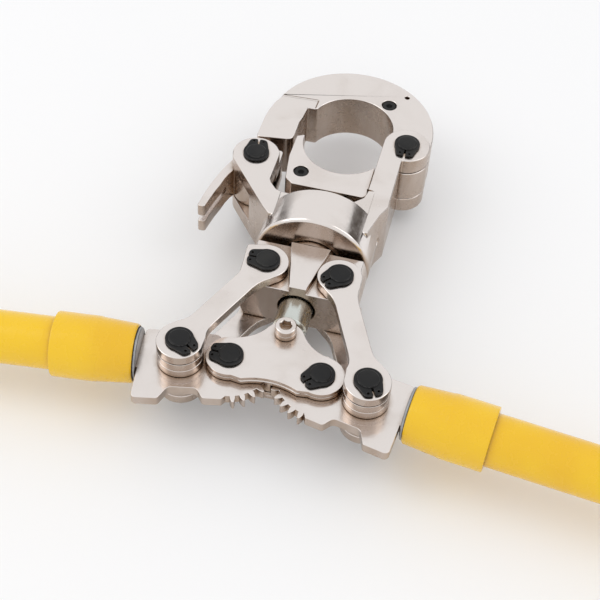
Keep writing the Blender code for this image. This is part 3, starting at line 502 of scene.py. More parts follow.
def new_group(name, inputs, outputs):
    """Shader node group with named sockets: (name, type, default) for each input."""
    tree = bpy.data.node_groups.new(name, "ShaderNodeTree")
    kinds = {"value": "NodeSocketFloat", "colour": "NodeSocketColor", "vector": "NodeSocketVector"}
    for label, kind, default in inputs:
        socket = tree.interface.new_socket(name=label, in_out="INPUT", socket_type=kinds[kind])
        socket.default_value = default
    for label, kind in outputs:
        tree.interface.new_socket(name=label, in_out="OUTPUT", socket_type=kinds[kind])
    return tree, tree.nodes.new("NodeGroupInput"), tree.nodes.new("NodeGroupOutput")


def ramp(tree, source, low, high, out_low=0.0, out_high=1.0):
    """Smooth step of a value between two levels."""
    levels = {"From Min": low, "From Max": high, "To Min": out_low, "To Max": out_high}
    node = add_node(tree, "MapRange", interpolation_type="SMOOTHSTEP", **levels)
    tree.links.new(source, node.inputs["Value"])
    return node.outputs["Result"]


def noise(tree, vector, scale, detail=4.0, roughness=0.55, distortion=0.0):
    """Soft noise over a surface, from 0 to 1."""
    node = add_node(
        tree, "TexNoise", Scale=scale, Detail=detail, Roughness=roughness, Distortion=distortion)
    tree.links.new(vector, node.inputs["Vector"])
    return node.outputs["Fac"]


def combine_values(tree, operation, first, second):
    """One sum on two values, each a socket or a number."""
    node = add_node(tree, "Math", operation=operation)
    for socket, value in zip(node.inputs, (first, second)):
        if isinstance(value, (int, float)):
            socket.default_value = value
        else:
            tree.links.new(value, socket)
    return node.outputs["Value"]


def times(tree, first, second):
    return combine_values(tree, "MULTIPLY", first, second)


def plus(tree, first, second):
    return combine_values(tree, "ADD", first, second)


def rgba(colour):
    return (colour[0], colour[1], colour[2], 1.0)


def object_space(tree):
    """Place on the piece, so that a pattern moves with it."""
    return add_node(tree, "TexCoord").outputs["Object"]


def stretched(tree, vector, scale):
    """Place scaled by a different amount along each axis."""
    node = add_node(tree, "Mapping")
    node.inputs["Scale"].default_value = scale
    tree.links.new(vector, node.inputs["Vector"])
    return node.outputs["Vector"]


def mix_colour(tree, factor, first, second):
    """Mix of two colours, each a socket or a plain colour."""
    node = add_node(tree, "Mix", data_type="RGBA")
    tree.links.new(factor, node.inputs[0])
    for socket, value in ((node.inputs[6], first), (node.inputs[7], second)):
        if isinstance(value, bpy.types.NodeSocket):
            tree.links.new(value, socket)
        else:
            socket.default_value = rgba(value)
    return node.outputs[2]


def build_plating_group():
    """Cloudy colour, handling marks and fine brushing of a plated surface, with painted shade in
    streaky bands on its walls, standing in for dark reflections.
    """
    tree, given, out = new_group(
        "Plated surface",
        [("Colour", "colour", (0.8, 0.8, 0.8, 1.0)), ("Stain", "colour", (0.3, 0.2, 0.1, 1.0)),
         ("Cloud", "value", 0.25), ("Side film", "value", 0.0), ("Brushing", "value", 0.4),
         ("Base roughness", "value", 0.25)],
        [("Colour", "colour"), ("Roughness", "value"), ("Height", "value")])
    given = given.outputs
    where = object_space(tree)
    broad = noise(tree, where, 38.0, 3.0, 0.5, 0.6)
    fine = noise(tree, where, 420.0, 5.0, 0.6)
    speck = noise(tree, where, 1700.0, 2.0, 0.5)
    brushed = noise(tree, stretched(tree, where, (1.0, 0.06, 1.0)), 2600.0, 2.0, 0.6)
    reflection_bands = noise(tree, stretched(tree, where, (1.0, 1.0, 0.35)), 90.0, 4.0, 0.55)

    cloud = times(tree, ramp(tree, broad, 0.46, 0.74), given["Cloud"])
    colour = mix_colour(tree, cloud, given["Colour"], given["Stain"])
    pits = times(tree, ramp(tree, speck, 0.7, 0.8), 0.15)
    colour = mix_colour(tree, pits, colour, given["Stain"])
    # Painted shade: walls, faces that turn away from Z, are mixed towards the stain colour in
    # streaky bands, as painted dark reflections.
    facing = add_node(tree, "SeparateXYZ")
    tree.links.new(add_node(tree, "TexCoord").outputs["Normal"], facing.inputs["Vector"])
    flat = combine_values(tree, "ABSOLUTE", facing.outputs["Z"], 0.0)
    shading = times(tree, ramp(tree, flat, 0.5, 0.15), given["Side film"])
    shading = times(tree, shading, ramp(tree, reflection_bands, 0.25, 0.75, 0.72, 1.0))
    colour = mix_colour(tree, shading, colour, given["Stain"])
    tree.links.new(colour, out.inputs["Colour"])

    rough = times(tree, ramp(tree, fine, 0.3, 0.75), 0.09)
    rough = plus(tree, rough, given["Base roughness"])
    rough = plus(tree, rough, times(tree, shading, 0.08))
    rough = plus(tree, rough, times(tree, ramp(tree, broad, 0.35, 0.7), 0.07))
    tree.links.new(rough, out.inputs["Roughness"])
    height = plus(tree, times(tree, brushed, given["Brushing"]), times(tree, fine, 0.5))
    tree.links.new(height, out.inputs["Height"])


def build_corner_group():
    """Mask of hollows and corners from ambient occlusion, broken up by noise: where painted shade
    goes.
    """
    tree, given, out = new_group(
        "Hollow shade mask", [("Reach", "value", 0.003), ("Strength", "value", 1.0)],
        [("Mask", "value")])
    shade = add_node(tree, "AmbientOcclusion", samples=8)
    tree.links.new(given.outputs["Reach"], shade.inputs["Distance"])
    broken = noise(tree, object_space(tree), 300.0, 4.0)
    open_sky = plus(tree, shade.outputs["AO"], times(tree, broken, 0.25))
    mask = times(tree, ramp(tree, open_sky, 1.05, 0.35), given.outputs["Strength"])
    tree.links.new(mask, out.inputs["Mask"])


def build_edge_group():
    """Mask of worn edges, broken up by fine noise."""
    tree, given, out = new_group(
        "Edge wear", [("Width", "value", 0.0006), ("Strength", "value", 1.0)],
        [("Mask", "value")])
    soft = add_node(tree, "Bevel", samples=4)
    tree.links.new(given.outputs["Width"], soft.inputs["Radius"])
    same = add_node(tree, "VectorMath", operation="DOT_PRODUCT")
    tree.links.new(soft.outputs["Normal"], same.inputs[0])
    tree.links.new(add_node(tree, "NewGeometry").outputs["Normal"], same.inputs[1])
    broken = ramp(tree, noise(tree, object_space(tree), 900.0, 4.0), 0.35, 0.65)
    mask = times(tree, ramp(tree, same.outputs["Value"], 0.995, 0.9), broken)
    mask = times(tree, mask, given.outputs["Strength"])
    tree.links.new(mask, out.inputs["Mask"])


def place_group(tree, name, **values):
    """Shared effect in a material, with its own values; _ stands for a space."""
    node = tree.nodes.new("ShaderNodeGroup")
    node.node_tree = bpy.data.node_groups[name]
    for key, value in values.items():
        node.inputs[key.replace("_", " ")].default_value = value
    return node


def start_material(name, metallic, coat=0.0, coat_roughness=0.1):
    """Material that isn't mistaken for the solids' own of the same slot."""
    material = bpy.data.materials.new(name + "_finish")
    material.use_nodes = True
    shader = material.node_tree.nodes["Principled BSDF"]
    shader.inputs["Metallic"].default_value = metallic
    shader.inputs["Coat Weight"].default_value = coat
    shader.inputs["Coat Roughness"].default_value = coat_roughness
    return material.node_tree, shader


def add_bump(tree, shader, height, strength, distance):
    """Fine relief from a height pattern."""
    bump = add_node(tree, "Bump", Strength=strength, Distance=distance)
    tree.links.new(height, bump.inputs["Height"])
    tree.links.new(bump.outputs["Normal"], shader.inputs["Normal"])


def plated_material(name, colour, stain_and_shade, cloud, side_shading, brushing, roughness, shading):
    """Polished metal with painted shade in its hollows and, by side_shading, painted shade in
    streaky bands on its walls; the stain colour also gives its cloudy stains and pits.
    """
    tree, shader = start_material(name, 1.0)
    plating = place_group(
        tree, "Plated surface", Colour=rgba(colour), Stain=rgba(stain_and_shade), Cloud=cloud,
        Side_film=side_shading, Brushing=brushing, Base_roughness=roughness)
    # Painted shade: hollows and corners are mixed towards the stain colour.
    hollow = place_group(tree, "Hollow shade mask", Reach=0.004, Strength=shading).outputs["Mask"]
    hollow_shaded = mix_colour(tree, hollow, plating.outputs["Colour"], stain_and_shade)
    tree.links.new(hollow_shaded, shader.inputs["Base Color"])
    rough = plus(tree, times(tree, hollow, 0.08), plating.outputs["Roughness"])
    tree.links.new(rough, shader.inputs["Roughness"])
    add_bump(tree, shader, plating.outputs["Height"], 0.07, BUMP_DEPTH)


def oxide_material(colour):
    """Blackened steel, worn a little along its edges."""
    tree, shader = start_material("black_oxide", 0.35)
    wear = place_group(tree, "Edge wear", Width=0.0005, Strength=0.35)
    plating = place_group(
        tree, "Plated surface", Colour=rgba(colour), Stain=rgba(OXIDE_STAIN), Cloud=0.5,
        Brushing=0.3, Base_roughness=0.42)
    worn = mix_colour(tree, wear.outputs["Mask"], plating.outputs["Colour"], WORN_OXIDE)
    tree.links.new(worn, shader.inputs["Base Color"])
    tree.links.new(plating.outputs["Roughness"], shader.inputs["Roughness"])
    add_bump(tree, shader, plating.outputs["Height"], 0.3, BUMP_DEPTH)


def coating_material(colour):
    """Thick yellow dip coating with a soft orange peel and painted shade in its hollows."""
    tree, shader = start_material("yellow_coating", 0.0, 0.3, 0.1)
    where = object_space(tree)
    broad = noise(tree, where, 22.0, 3.0, 0.5)
    peel = noise(tree, where, 190.0, 3.0, 0.45)
    deep = [c * f for c, f in zip(colour, COATING_SHADE)]
    tone = mix_colour(tree, ramp(tree, broad, 0.35, 0.7), colour, deep)
    # Painted shade: hollows and corners of the coating darken towards brown.
    hollow = place_group(tree, "Hollow shade mask", Reach=0.003, Strength=0.8)
    tone = mix_colour(tree, hollow.outputs["Mask"], tone, COATING_HOLLOW_SHADE)
    tree.links.new(tone, shader.inputs["Base Color"])
    tree.links.new(ramp(tree, peel, 0.25, 0.8, 0.2, 0.34), shader.inputs["Roughness"])
    add_bump(tree, shader, peel, 0.25, 0.0006)


def rubber_material(colour):
    """Dusty black rubber with a fine grain."""
    tree, shader = start_material("black_rubber", 0.0)
    where = object_space(tree)
    grain = noise(tree, where, 1500.0, 3.0, 0.6)
    dusty = ramp(tree, noise(tree, where, 60.0, 4.0), 0.45, 0.75, 0.0, 0.5)
    tree.links.new(mix_colour(tree, dusty, colour, RUBBER_DUST), shader.inputs["Base Color"])
    tree.links.new(ramp(tree, grain, 0.3, 0.7, 0.55, 0.75), shader.inputs["Roughness"])
    add_bump(tree, shader, grain, 0.35, 0.0002)


def build_materials():
    colours = bpy.context.scene.press_tool_colours
    build_plating_group()
    build_corner_group()
    build_edge_group()
    # Each metal: cloudy stains and pits, painted shade on its walls in streaky bands, and painted
    # shade in its hollows.
    plated_material(
        "satin_nickel", colours.nickel, colours.stain_and_shade, cloud=0.13, side_shading=0.72,
        brushing=0.5, roughness=0.13, shading=0.85)
    plated_material(
        "zinc_plate", colours.zinc, ZINC_STAIN_AND_SHADE, cloud=0.3, side_shading=0.0, brushing=0.8,
        roughness=0.16, shading=0.45)
    plated_material(
        "bare_steel", colours.steel, STEEL_STAIN_AND_SHADE, cloud=0.5, side_shading=0.0, brushing=0.9,
        roughness=0.3, shading=0.6)
    oxide_material(colours.oxide)
    coating_material(colours.coating)
    rubber_material(colours.rubber)


# ---------------------------------------------------------------- pieces


def link_outline(side, shouldered):
    """Toggle link from its upper eye at the origin down to its lower eye."""
    waist, shoulder = LINK_WAIST, LINK_SHOULDER
    foot = -LINK_LENGTH
    lower = arc(0.0, foot, LINK_EYE_R, -207.0, 27.0)
    fillet = [(8.05, foot + 8.2), (6.5, foot + 10.7), (5.7, foot + 13.0), (waist, foot + 16.0)]
    neck = [(waist, -17.0), (5.8, -13.5), (6.7, -10.6), (8.0, -7.9)]
    if shouldered:
        upper = arc(0.0, 0.0, LINK_EYE_R, 42.0, 212.0)
        right = [
            (waist, -14.6), (waist + 0.3, -12.9), (waist + 1.0, -11.2), (shoulder - 0.3, 1.4),
            (shoulder, 2.6), (shoulder - 0.4, 3.5), (shoulder - 1.3, 4.1)]
    else:
        upper = arc(0.0, 0.0, LINK_EYE_R, -32.0, 212.0)
        right = neck
    return mirrored(lower + fillet + right + upper + flipped(neck) + flipped(fillet), side)


def build_links():
    edge = bpy.context.scene.press_tool_sizes.edge_round * 1.4
    holes = [circle(0.0, 0.0, HOLE_R), circle(0.0, -LINK_LENGTH, HOLE_R)]
    for label, side in SIDES:
        place = turn_about_z(side * LINK_ANGLE, side * UPPER_PIVOT_X)
        for face, sign in FACES:
            low, high = sorted((sign * LINK_LOW, sign * LINK_HIGH))
            outline = link_outline(side, shouldered=side != sign)
            name = "link_%s_%s" % (label, face)
            piece = prism(name + "_dress", outline, low, high, holes)
            finish(piece, place, "link_" + label, "satin_nickel", edge, name)


def tooth_half_angle(radius):
    """Half the angle that a tooth takes up at a radius, in degrees."""
    pressure = math.radians(PRESSURE_ANGLE)
    base = PITCH_R * math.cos(pressure)
    at_pitch = math.pi / (2.0 * GEAR_TEETH) - TOOTH_THINNING / (2.0 * PITCH_R)
    local = 0.0
    if radius > base:
        slope = math.acos(base / radius)
        local = math.tan(slope) - slope
    return math.degrees(at_pitch + math.tan(pressure) - pressure - local)


def gear_arc(first_tooth, tooth_count):
    """Sector of involute teeth round the bracket's pivot."""
    levels = [ROOT_R, ROOT_R + 0.5, PITCH_R - 0.9, PITCH_R - 0.3, PITCH_R + 0.3, PITCH_R + 0.9,
              PITCH_R + GEAR_MODULE]
    points = []
    for i in range(tooth_count):
        middle = first_tooth + i * TOOTH_PITCH
        rising = [(r, middle - tooth_half_angle(r)) for r in levels]
        falling = [(r, middle + tooth_half_angle(r)) for r in reversed(levels)]
        for radius, angle in rising + falling:
            points.append(on_circle(0.0, 0.0, radius, math.radians(angle)))
    return points


def bracket_outline(side):
    """Bracket with its pivot at the origin, its notch below and its tang out to the handle."""
    mesh_angle = 180.0 + HANDLE_OPEN_ANGLE
    first = mesh_angle - (TOOTH_PITCH if side > 0 else TOOTH_PITCH / 2.0)
    count = 8 if side > 0 else 7
    tilt = math.radians(HANDLE_TILT)
    along = Vector((math.cos(tilt), math.sin(tilt)))
    across = Vector((-along.y, along.x))

    def on_handle(reach, height):
        return along * reach + across * height

    low_corner = on_handle(BRACKET_END, -(BRACKET_LUG + along.y * BRACKET_END) / along.x)
    high_corner = on_handle(BRACKET_END, (BRACKET_TOP - along.y * BRACKET_END) / along.x)
    edge = rounded([
        (2.4, -BRACKET_LAND, 0.0),
        (10.8, -BRACKET_LAND, 1.8),
        (13.6, -NOTCH_TOP, 3.0),
        (26.4, -NOTCH_TOP, 3.2),
        (low_corner.x - 12.0, -BRACKET_LUG, 1.8),
        (*low_corner, 2.4),
        (*on_handle(BRACKET_END, -TANG_HALF), 0.0),
        (*on_handle(TANG_END, -TANG_HALF), 1.0),
        (*on_handle(TANG_END, TANG_HALF), 1.0),
        (*on_handle(BRACKET_END, TANG_HALF), 0.0),
        (*high_corner, 2.8),
        (4.0, BRACKET_TOP - 1.6, 4.0),
    ])
    shoulder = arc(0.0, 0.0, BRACKET_TOP - 2.0, 100.0, 168.0)
    sector = gear_arc(first, count)
    if side < 0:
        turn = math.radians(first + count * TOOTH_PITCH - tooth_half_angle(ROOT_R))
        sector.append(on_circle(0.0, 0.0, ROOT_R, turn))
    return mirrored(edge + shoulder + sector, side)


def spacer_profile(sign):
    """Ring with a fine groove round its middle, as two washers that lie together."""
    low, high = PLATE_LOW, SPACER_HIGH
    middle = (low + high) / 2.0
    groove = SPACER_R - 0.5
    outer = [
        (SPACER_R, high), (SPACER_R, middle + 0.22), (groove, middle + 0.1),
        (groove, middle - 0.1), (SPACER_R, middle - 0.22), (SPACER_R, low)]
    profile = [(CLEARANCE_R, high)] + outer + [(CLEARANCE_R, low)]
    return [(radius, sign * height) for radius, height in profile]


def build_brackets():
    sizes = bpy.context.scene.press_tool_sizes
    for label, side in SIDES:
        body = "bracket_" + label
        place = turn_about_z(-side * HANDLE_OPEN_ANGLE, side * LOWER_PIVOT_X, CARRIAGE_Y)
        pivot_x = side * HANDLE_PIVOT_R
        holes = [circle(pivot_x, 0.0, CLEARANCE_R), circle(0.0, 0.0, HOLE_R)]
        outline = bracket_outline(side)
        piece = prism(body + "_dress", outline, -BRACKET_HALF, BRACKET_HALF, holes)
        finish(piece, place, body, "satin_nickel", sizes.tooth_round, body)
        for face, sign in FACES:
            name = "spacer_%s_%s" % (label, face)
            ring = lathe(
                name + "_dress", spacer_profile(sign), closed=True, at=(pivot_x, 0.0, 0.0))
            finish(ring, place, body, "satin_nickel", sizes.tooth_round, name)


def plate_outline(inset=0.0):
    """Centre plate with three lobes joined by hollow sides that touch them."""
    lobe, up = LOWER_PIVOT_X, PLATE_TOP_UP
    near, far = PLATE_HOLLOW_R + PLATE_LOBE_R, PLATE_HOLLOW_R + PLATE_TOP_R
    span = math.hypot(lobe, up)
    reach = (near ** 2 - far ** 2 + span ** 2) / (2.0 * span)
    off = math.sqrt(near ** 2 - reach ** 2)
    cx = lobe + (up * off - lobe * reach) / span
    cy = (up * reach + lobe * off) / span
    low_turn = math.degrees(math.atan2(-cy, lobe - cx))
    top_turn = math.degrees(math.atan2(up - cy, -cx))
    right = arc(lobe, 0.0, PLATE_LOBE_R - inset, -108.0, low_turn + 180.0)
    hollow_right = arc(cx, cy, PLATE_HOLLOW_R + inset, low_turn, top_turn)
    top = arc(0.0, up, PLATE_TOP_R - inset, top_turn + 180.0, -top_turn)
    left = arc(-lobe, 0.0, PLATE_LOBE_R - inset, -low_turn, 288.0)
    bottom = arc(0.0, -39.5, 31.3 - inset, 114.0, 66.0)
    return right + hollow_right + top + flipped(hollow_right) + left + bottom


def build_plates(place):
    """Centre plates, each with a fine line round its side where two layers meet."""
    edge = bpy.context.scene.press_tool_sizes.edge_round * 0.6
    middle = (PLATE_LOW + PLATE_HIGH) / 2.0
    line = 0.12
    holes = [circle(x, 0.0, HOLE_R) for x in (LOWER_PIVOT_X, -LOWER_PIVOT_X)]
    holes.append(circle(0.0, SCREW_UP, SCREW_HOLE_R))
    for face, sign in FACES:
        layers = []
        for part, inset, heights in (
                ("outer", 0.0, (middle + line, PLATE_HIGH)),
                ("inner", 0.0, (PLATE_LOW, middle - line)),
                ("core", 0.45, (middle - 0.2, middle + 0.2))):
            low, high = sorted(sign * height for height in heights)
            layers.append(prism("plate_" + part, plate_outline(inset), low, high, holes))
        name = "centre_plate_" + face
        piece = join(*layers)
        piece.name = name + "_dress"
        finish(piece, place, "carriage", "satin_nickel", edge, name)


def build_rod(place):
    """Push rod with a flat tongue, hollowed to clear the gear teeth, between the plates."""
    rod = lathe("push_rod_dress", [
        (0.0, ROD_TOP_UP), (ROD_R - 0.8, ROD_TOP_UP), (ROD_R, ROD_TOP_UP - 0.8),
        (ROD_R, ROD_SHOULDER_UP + 1.0), (ROD_R - 1.0, ROD_SHOULDER_UP), (0.0, ROD_SHOULDER_UP)],
        axis="Y")
    swing = PITCH_R + GEAR_MODULE + 0.5
    start, end = (
        math.degrees(math.acos((x - LOWER_PIVOT_X) / swing)) for x in (ROD_HALF_WIDTH, 1.0))
    right = arc(LOWER_PIVOT_X, 0.0, swing, end, start)
    top = ROD_SHOULDER_UP + 3.0
    outline = flipped(right) + right + [(ROD_HALF_WIDTH, top), (-ROD_HALF_WIDTH, top)]
    join(rod, prism("rod_tongue", outline, -BRACKET_HALF, BRACKET_HALF))
    hole = cylinder(
        "rod_screw_hole", SCREW_HOLE_R, -20.0, 20.0, at=(0.0, SCREW_UP, 0.0), segments=32)
    finish(cut(rod, hole), place, "carriage", "zinc_plate", 0.0002, "push_rod")


def build_rod_screw(place):
    """Cap screw with a hexagon socket and a washer line under its head."""
    spot = (0.0, SCREW_UP, 0.0)
    low = PLATE_HIGH + GAP
    high = low + 5.7
    seam = low + 2.6
    tip = -PLATE_HIGH - 0.5
    screw = lathe("rod_screw_dress", [
        (0.0, high), (4.5, high), (5.0, high - 0.5), (5.0, seam + 0.2), (4.6, seam + 0.1),
        (4.6, seam - 0.1), (5.0, seam - 0.2), (5.0, low), (3.0, low), (3.0, tip), (0.0, tip)],
        at=spot)
    socket = cylinder("hex_socket", 2.9, high - 3.2, high + 2.0, at=spot, segments=6)
    lead = [(0.0, high + 0.5), (3.4, high + 0.5), (2.6, high - 0.5), (0.0, high - 0.5)]
    cut(screw, socket, lathe("hex_lead", lead, 32, at=spot))
    finish(screw, place, "carriage", "satin_nickel", 0.00015, "rod_screw")


def build_carriage():
    place = turn_about_z(0.0, 0.0, CARRIAGE_Y)
    build_plates(place)
    build_rod(place)
    build_rod_screw(place)


def pin_profile(end, ring_low):
    """Headless pin with a slightly domed, chamfered end and grooves for its rings."""
    low, high = ring_low - GAP, ring_low + CLIP_THICK + GAP
    groove = PIN_R - 0.8
    upper = [
        (0.0, end - 0.05), (2.2, end - 0.06), (PIN_R - 0.9, end - 0.12),
        (PIN_R - 0.45, end - 0.3), (PIN_R - 0.12, end - 0.62), (PIN_R, end - 1.0),
        (PIN_R, high), (groove, high), (groove, low), (PIN_R, low),
    ]
    return upper + [(r, -z) for r, z in reversed(upper)]


def ring_outline():
    """Open retaining ring with two lugs, its mouth towards +X."""
    inner = PIN_R - 0.5
    outer = inner + 1.9
    mouth = math.degrees(math.asin(0.5 / inner))
    lug = [(8.6, 0.5), (8.85, 0.8), (8.95, 1.6), (8.8, 2.9), (8.35, 3.8), (7.7, 4.3), (6.9, 4.6)]
    points = arc(0.0, 0.0, inner, 360.0 - mouth, mouth) + lug
    points += arc(0.0, 0.0, outer, 62.0, 298.0)
    return points + [(x, -y) for x, y in reversed(lug)]


def add_pin(node, place, body, end, ring_low, turns):
    """Pin with its pair of retaining rings; turns is the direction of their mouths."""
    pin = lathe(node + "_dress", pin_profile(end, ring_low), 48)
    finish(pin, place, body, "black_oxide", 0.0, node)
    stem = node.replace("_pin", "_circlip")
    eyes = [circle(7.35, y, CLIP_EYE_R, 20) for y in (2.4, -2.4)]
    for face, low in (("front", ring_low), ("back", -ring_low - CLIP_THICK)):
        name = "%s_%s" % (stem, face)
        ring = prism(name + "_dress", ring_outline(), low, low + CLIP_THICK, eyes)
        ring.data.transform(Matrix.Rotation(math.radians(turns), 4, "Z"))
        finish(ring, place, body, "black_oxide", 0.00012, name)


def build_pins():
    long_low, short_low = LINK_HIGH + GAP, PLATE_HIGH + GAP
    arm_low = ARM_HALF_THICK + GAP
    upper = {"left": 180.0, "right": 225.0}
    lower = {"left": -35.0, "right": -60.0}
    lean = math.radians(LINK_ANGLE)
    for label, side in SIDES:
        place = turn_about_z(0.0, side * UPPER_PIVOT_X)
        add_pin("yoke_pin_" + label, place, "yoke", LONG_PIN_END, long_low, upper[label])
        place = turn_about_z(0.0, side * LOWER_PIVOT_X, CARRIAGE_Y)
        add_pin("gear_pin_" + label, place, "carriage", SHORT_PIN_END, short_low, upper[label])
        foot_x = side * (UPPER_PIVOT_X + LINK_LENGTH * math.sin(lean))
        place = turn_about_z(0.0, foot_x, -LINK_LENGTH * math.cos(lean))
        body = "link_" + label
        add_pin("handle_pin_" + label, place, body, LONG_PIN_END, long_low, lower[label])
    end = arm_low + 2.0
    add_pin("hinge_pin", turn_about_z(0.0, *HINGE), "head", end, arm_low, -90.0)
    add_pin("latch_pin", turn_about_z(0.0, *CATCH), "head", end, arm_low, 95.0)


def build_yoke():
    edge = bpy.context.scene.press_tool_sizes.edge_round
    groove = SPIGOT_R - SPIGOT_GROOVE_D
    groove_low = SPIGOT_GROOVE_Y - SPIGOT_GROOVE_W / 2.0
    groove_high = SPIGOT_GROOVE_Y + SPIGOT_GROOVE_W / 2.0
    piece = lathe("yoke_dress", [
        (0.0, SPIGOT_TOP), (SPIGOT_R - 0.8, SPIGOT_TOP), (SPIGOT_R, SPIGOT_TOP - 0.8),
        (SPIGOT_R, groove_high), (groove, groove_high), (groove, groove_low),
        (SPIGOT_R, groove_low), (SPIGOT_R, YOKE_TOP), (YOKE_R, YOKE_TOP),
        (YOKE_R, YOKE_BOTTOM), (0.0, YOKE_BOTTOM)], 128, "Y")
    below, above = YOKE_BOTTOM - 2.0, YOKE_TOP + 0.001
    web = [(9.6, above), (9.0, 13.5), (8.1, 9.5), (7.2, 5.0), (6.3, 0.5), (5.4, -4.0),
           (4.3, -9.0), (3.9, below)]
    pocket = web + [(BEYOND, below), (BEYOND, above)]
    tools = []
    for sign in (1, -1):
        heights = sorted((sign * YOKE_HALF_THICK, sign * BEYOND))
        for side in (1, -1):
            tools.append(prism("pocket", mirrored(pocket, side), *heights))
        low, high = sorted((sign * WEB_HALF_THICK, sign * BEYOND))
        tools.append(block("web_face", (-12.0, below, low), (12.0, YOKE_TOP + 0.002, high)))
        eye_x = sign * UPPER_PIVOT_X
        tools.append(cylinder("eye", HOLE_R, -BEYOND, BEYOND, at=(eye_x, 0.0, 0.0)))
    tools.append(cylinder("rod_bore", ROD_BORE_R, -60.0, 60.0, "Y"))
    cut(piece, *tools)
    finish(piece, turn_about_z(0.0), "yoke", "satin_nickel", edge, "yoke")


def head_outline():
    """Forked arms with their lobes, and the window between them."""
    shoulder = HEAD_BOTTOM + 10.0
    right_low = [
        (HEAD_R - 4.0, shoulder), (HEAD_R - 0.6, 43.0), (HINGE[0] - 0.6, 49.0), (30.4, 54.0)]
    right_lobe = arc(*HINGE, LOBE_R, -92.0, 180.0)
    window = [
        (WINDOW_RIGHT, 56.0), (17.6, 52.4), (13.0, 47.7), (8.0, 45.2), (4.0, 44.0),
        (-22.0, 45.5), (-25.0, 46.6), (-28.4, 50.4), (WINDOW_LEFT, 52.5)]
    left_lobe = arc(*CATCH, LOBE_R, 12.0, 222.0)
    left_low = [(-HEAD_R + 0.4, 33.0), (-HEAD_R + 4.0, shoulder)]
    return right_low + right_lobe + window + left_lobe + left_low, window


def build_head():
    edge = bpy.context.scene.press_tool_sizes.forged_round
    piece = lathe("head_body_dress", [
        (0.0, 58.0), (HEAD_R, 58.0), (HEAD_R, HEAD_BOTTOM + 1.2), (HEAD_R - 1.2, HEAD_BOTTOM),
        (0.0, HEAD_BOTTOM)], 128, "Y")
    outline, window = head_outline()
    crown = [(-BEYOND, 48.5), (-BEYOND, 70.0), (BEYOND, 70.0), (BEYOND, 50.5), (24.0, 42.0),
             (-24.0, 40.0)]
    tools = []
    for sign in (1, -1):
        heights = sorted((sign * (ARM_HALF_THICK + 0.001), sign * BEYOND))
        tools.append(prism("crown", crown[::-1], *heights))
    opening = [(WINDOW_RIGHT, 70.0)] + window + [(WINDOW_LEFT, 70.0)]
    tools.append(prism("window", opening[::-1], -BEYOND, BEYOND))
    cut(piece, *tools)
    join(piece, prism("arms", outline, -ARM_HALF_THICK, ARM_HALF_THICK))
    slot_low = HINGE[1] - TONGUE_R - 1.6
    hinge_slot = [(14.6, 120.0), (14.6, slot_low), (60.0, slot_low), (60.0, 120.0)]
    catch_slot = [
        (-24.0, 90.0), (-24.0, 57.0), (-34.0, 52.0), (-44.0, 40.0), (-80.0, 40.0), (-80.0, 90.0)]
    groove_at = (0.0, SPIGOT_GROOVE_Y, 0.0)
    tools = [
        cylinder("swivel_bore", SPIGOT_R + 0.4, 0.0, 47.0, "Y", segments=96),
        prism("hinge_slot", hinge_slot, -ARM_SLOT_HALF, ARM_SLOT_HALF),
        prism("catch_slot", catch_slot, -ARM_SLOT_HALF, ARM_SLOT_HALF),
        cylinder("screw_hole", 2.8, 13.0, 32.0, "X", groove_at, 40),
    ]
    for spot in (HINGE, CATCH):
        tools.append(cylinder("pin_hole", HOLE_R, -30.0, 30.0, at=(*spot, 0.0)))
    cut(piece, *tools)
    finish(piece, turn_about_z(0.0), "head", "satin_nickel", edge, "head_body")
    build_set_screw()
    build_spring()


def build_set_screw():
    """Screw that reaches into the spigot's groove and keeps the head on."""
    start, end = SPIGOT_R - SPIGOT_GROOVE_D + GAP, HEAD_R - 1.8
    screw = cylinder("set_screw_dress", 2.5, start, end, "X", segments=40)
    cut(screw, cylinder("set_screw_hex", 1.4, end - 2.0, end + 2.0, "X", segments=6))
    place = turn_about_z(0.0, 0.0, SPIGOT_GROOVE_Y)
    finish(screw, place, "head", "black_oxide", 0.00015, "swivel_set_screw")


def build_spring():
    """Torsion coil that lies round the latch pin."""
    curve = bpy.data.curves.new("latch_spring_dress", "CURVE")
    curve.dimensions = "3D"
    curve.bevel_depth = WIRE_R * MM
    curve.bevel_resolution = 3
    curve.use_fill_caps = True
    spline = curve.splines.new("POLY")
    per_turn, turns = 32, 3
    span = 2.0 * (SPRING_HALF - WIRE_R - GAP)
    count = per_turn * turns
    spline.points.add(count)
    centre = ORIGIN + Vector((*CATCH, 0.0)) * MM
    for i in range(count + 1):
        spot = on_circle(0.0, 0.0, COIL_R, 2.0 * math.pi * i / per_turn)
        spot = Vector((*spot, span * (i / count - 0.5))) * MM
        spline.points[i].co = (*(centre + spot), 1.0)
    piece = add_object("latch_spring_dress", curve)
    curve.materials.append(bpy.data.materials["bare_steel_finish"])
    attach(piece, "head")
    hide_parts("latch_spring")


def jaw_outline():
    """Press ring from its hinge tongue round to the free end."""
    bore = arc(0.0, RING_Y, RING_BORE_R, 157.5, -25.0)
    tongue = arc(*HINGE, TONGUE_R, 166.0, 389.0)
    outer = arc(0.0, RING_Y, RING_OUTER_R, -6.0, 164.0)
    free_end = [
        (-42.6, 115.0), (-44.3, 108.0), (-44.9, 103.0), (-45.2, 94.0), (-45.3, 88.2),
        (-44.6, 87.0), (-43.2, 86.9), (-30.2, 89.0), (-28.4, 89.5), (-27.2, 90.6),
        (-26.6, 92.4), (-26.5, 103.0), (-25.7, 107.0), (-24.9, 115.2)]
    return bore + tongue + outer + free_end


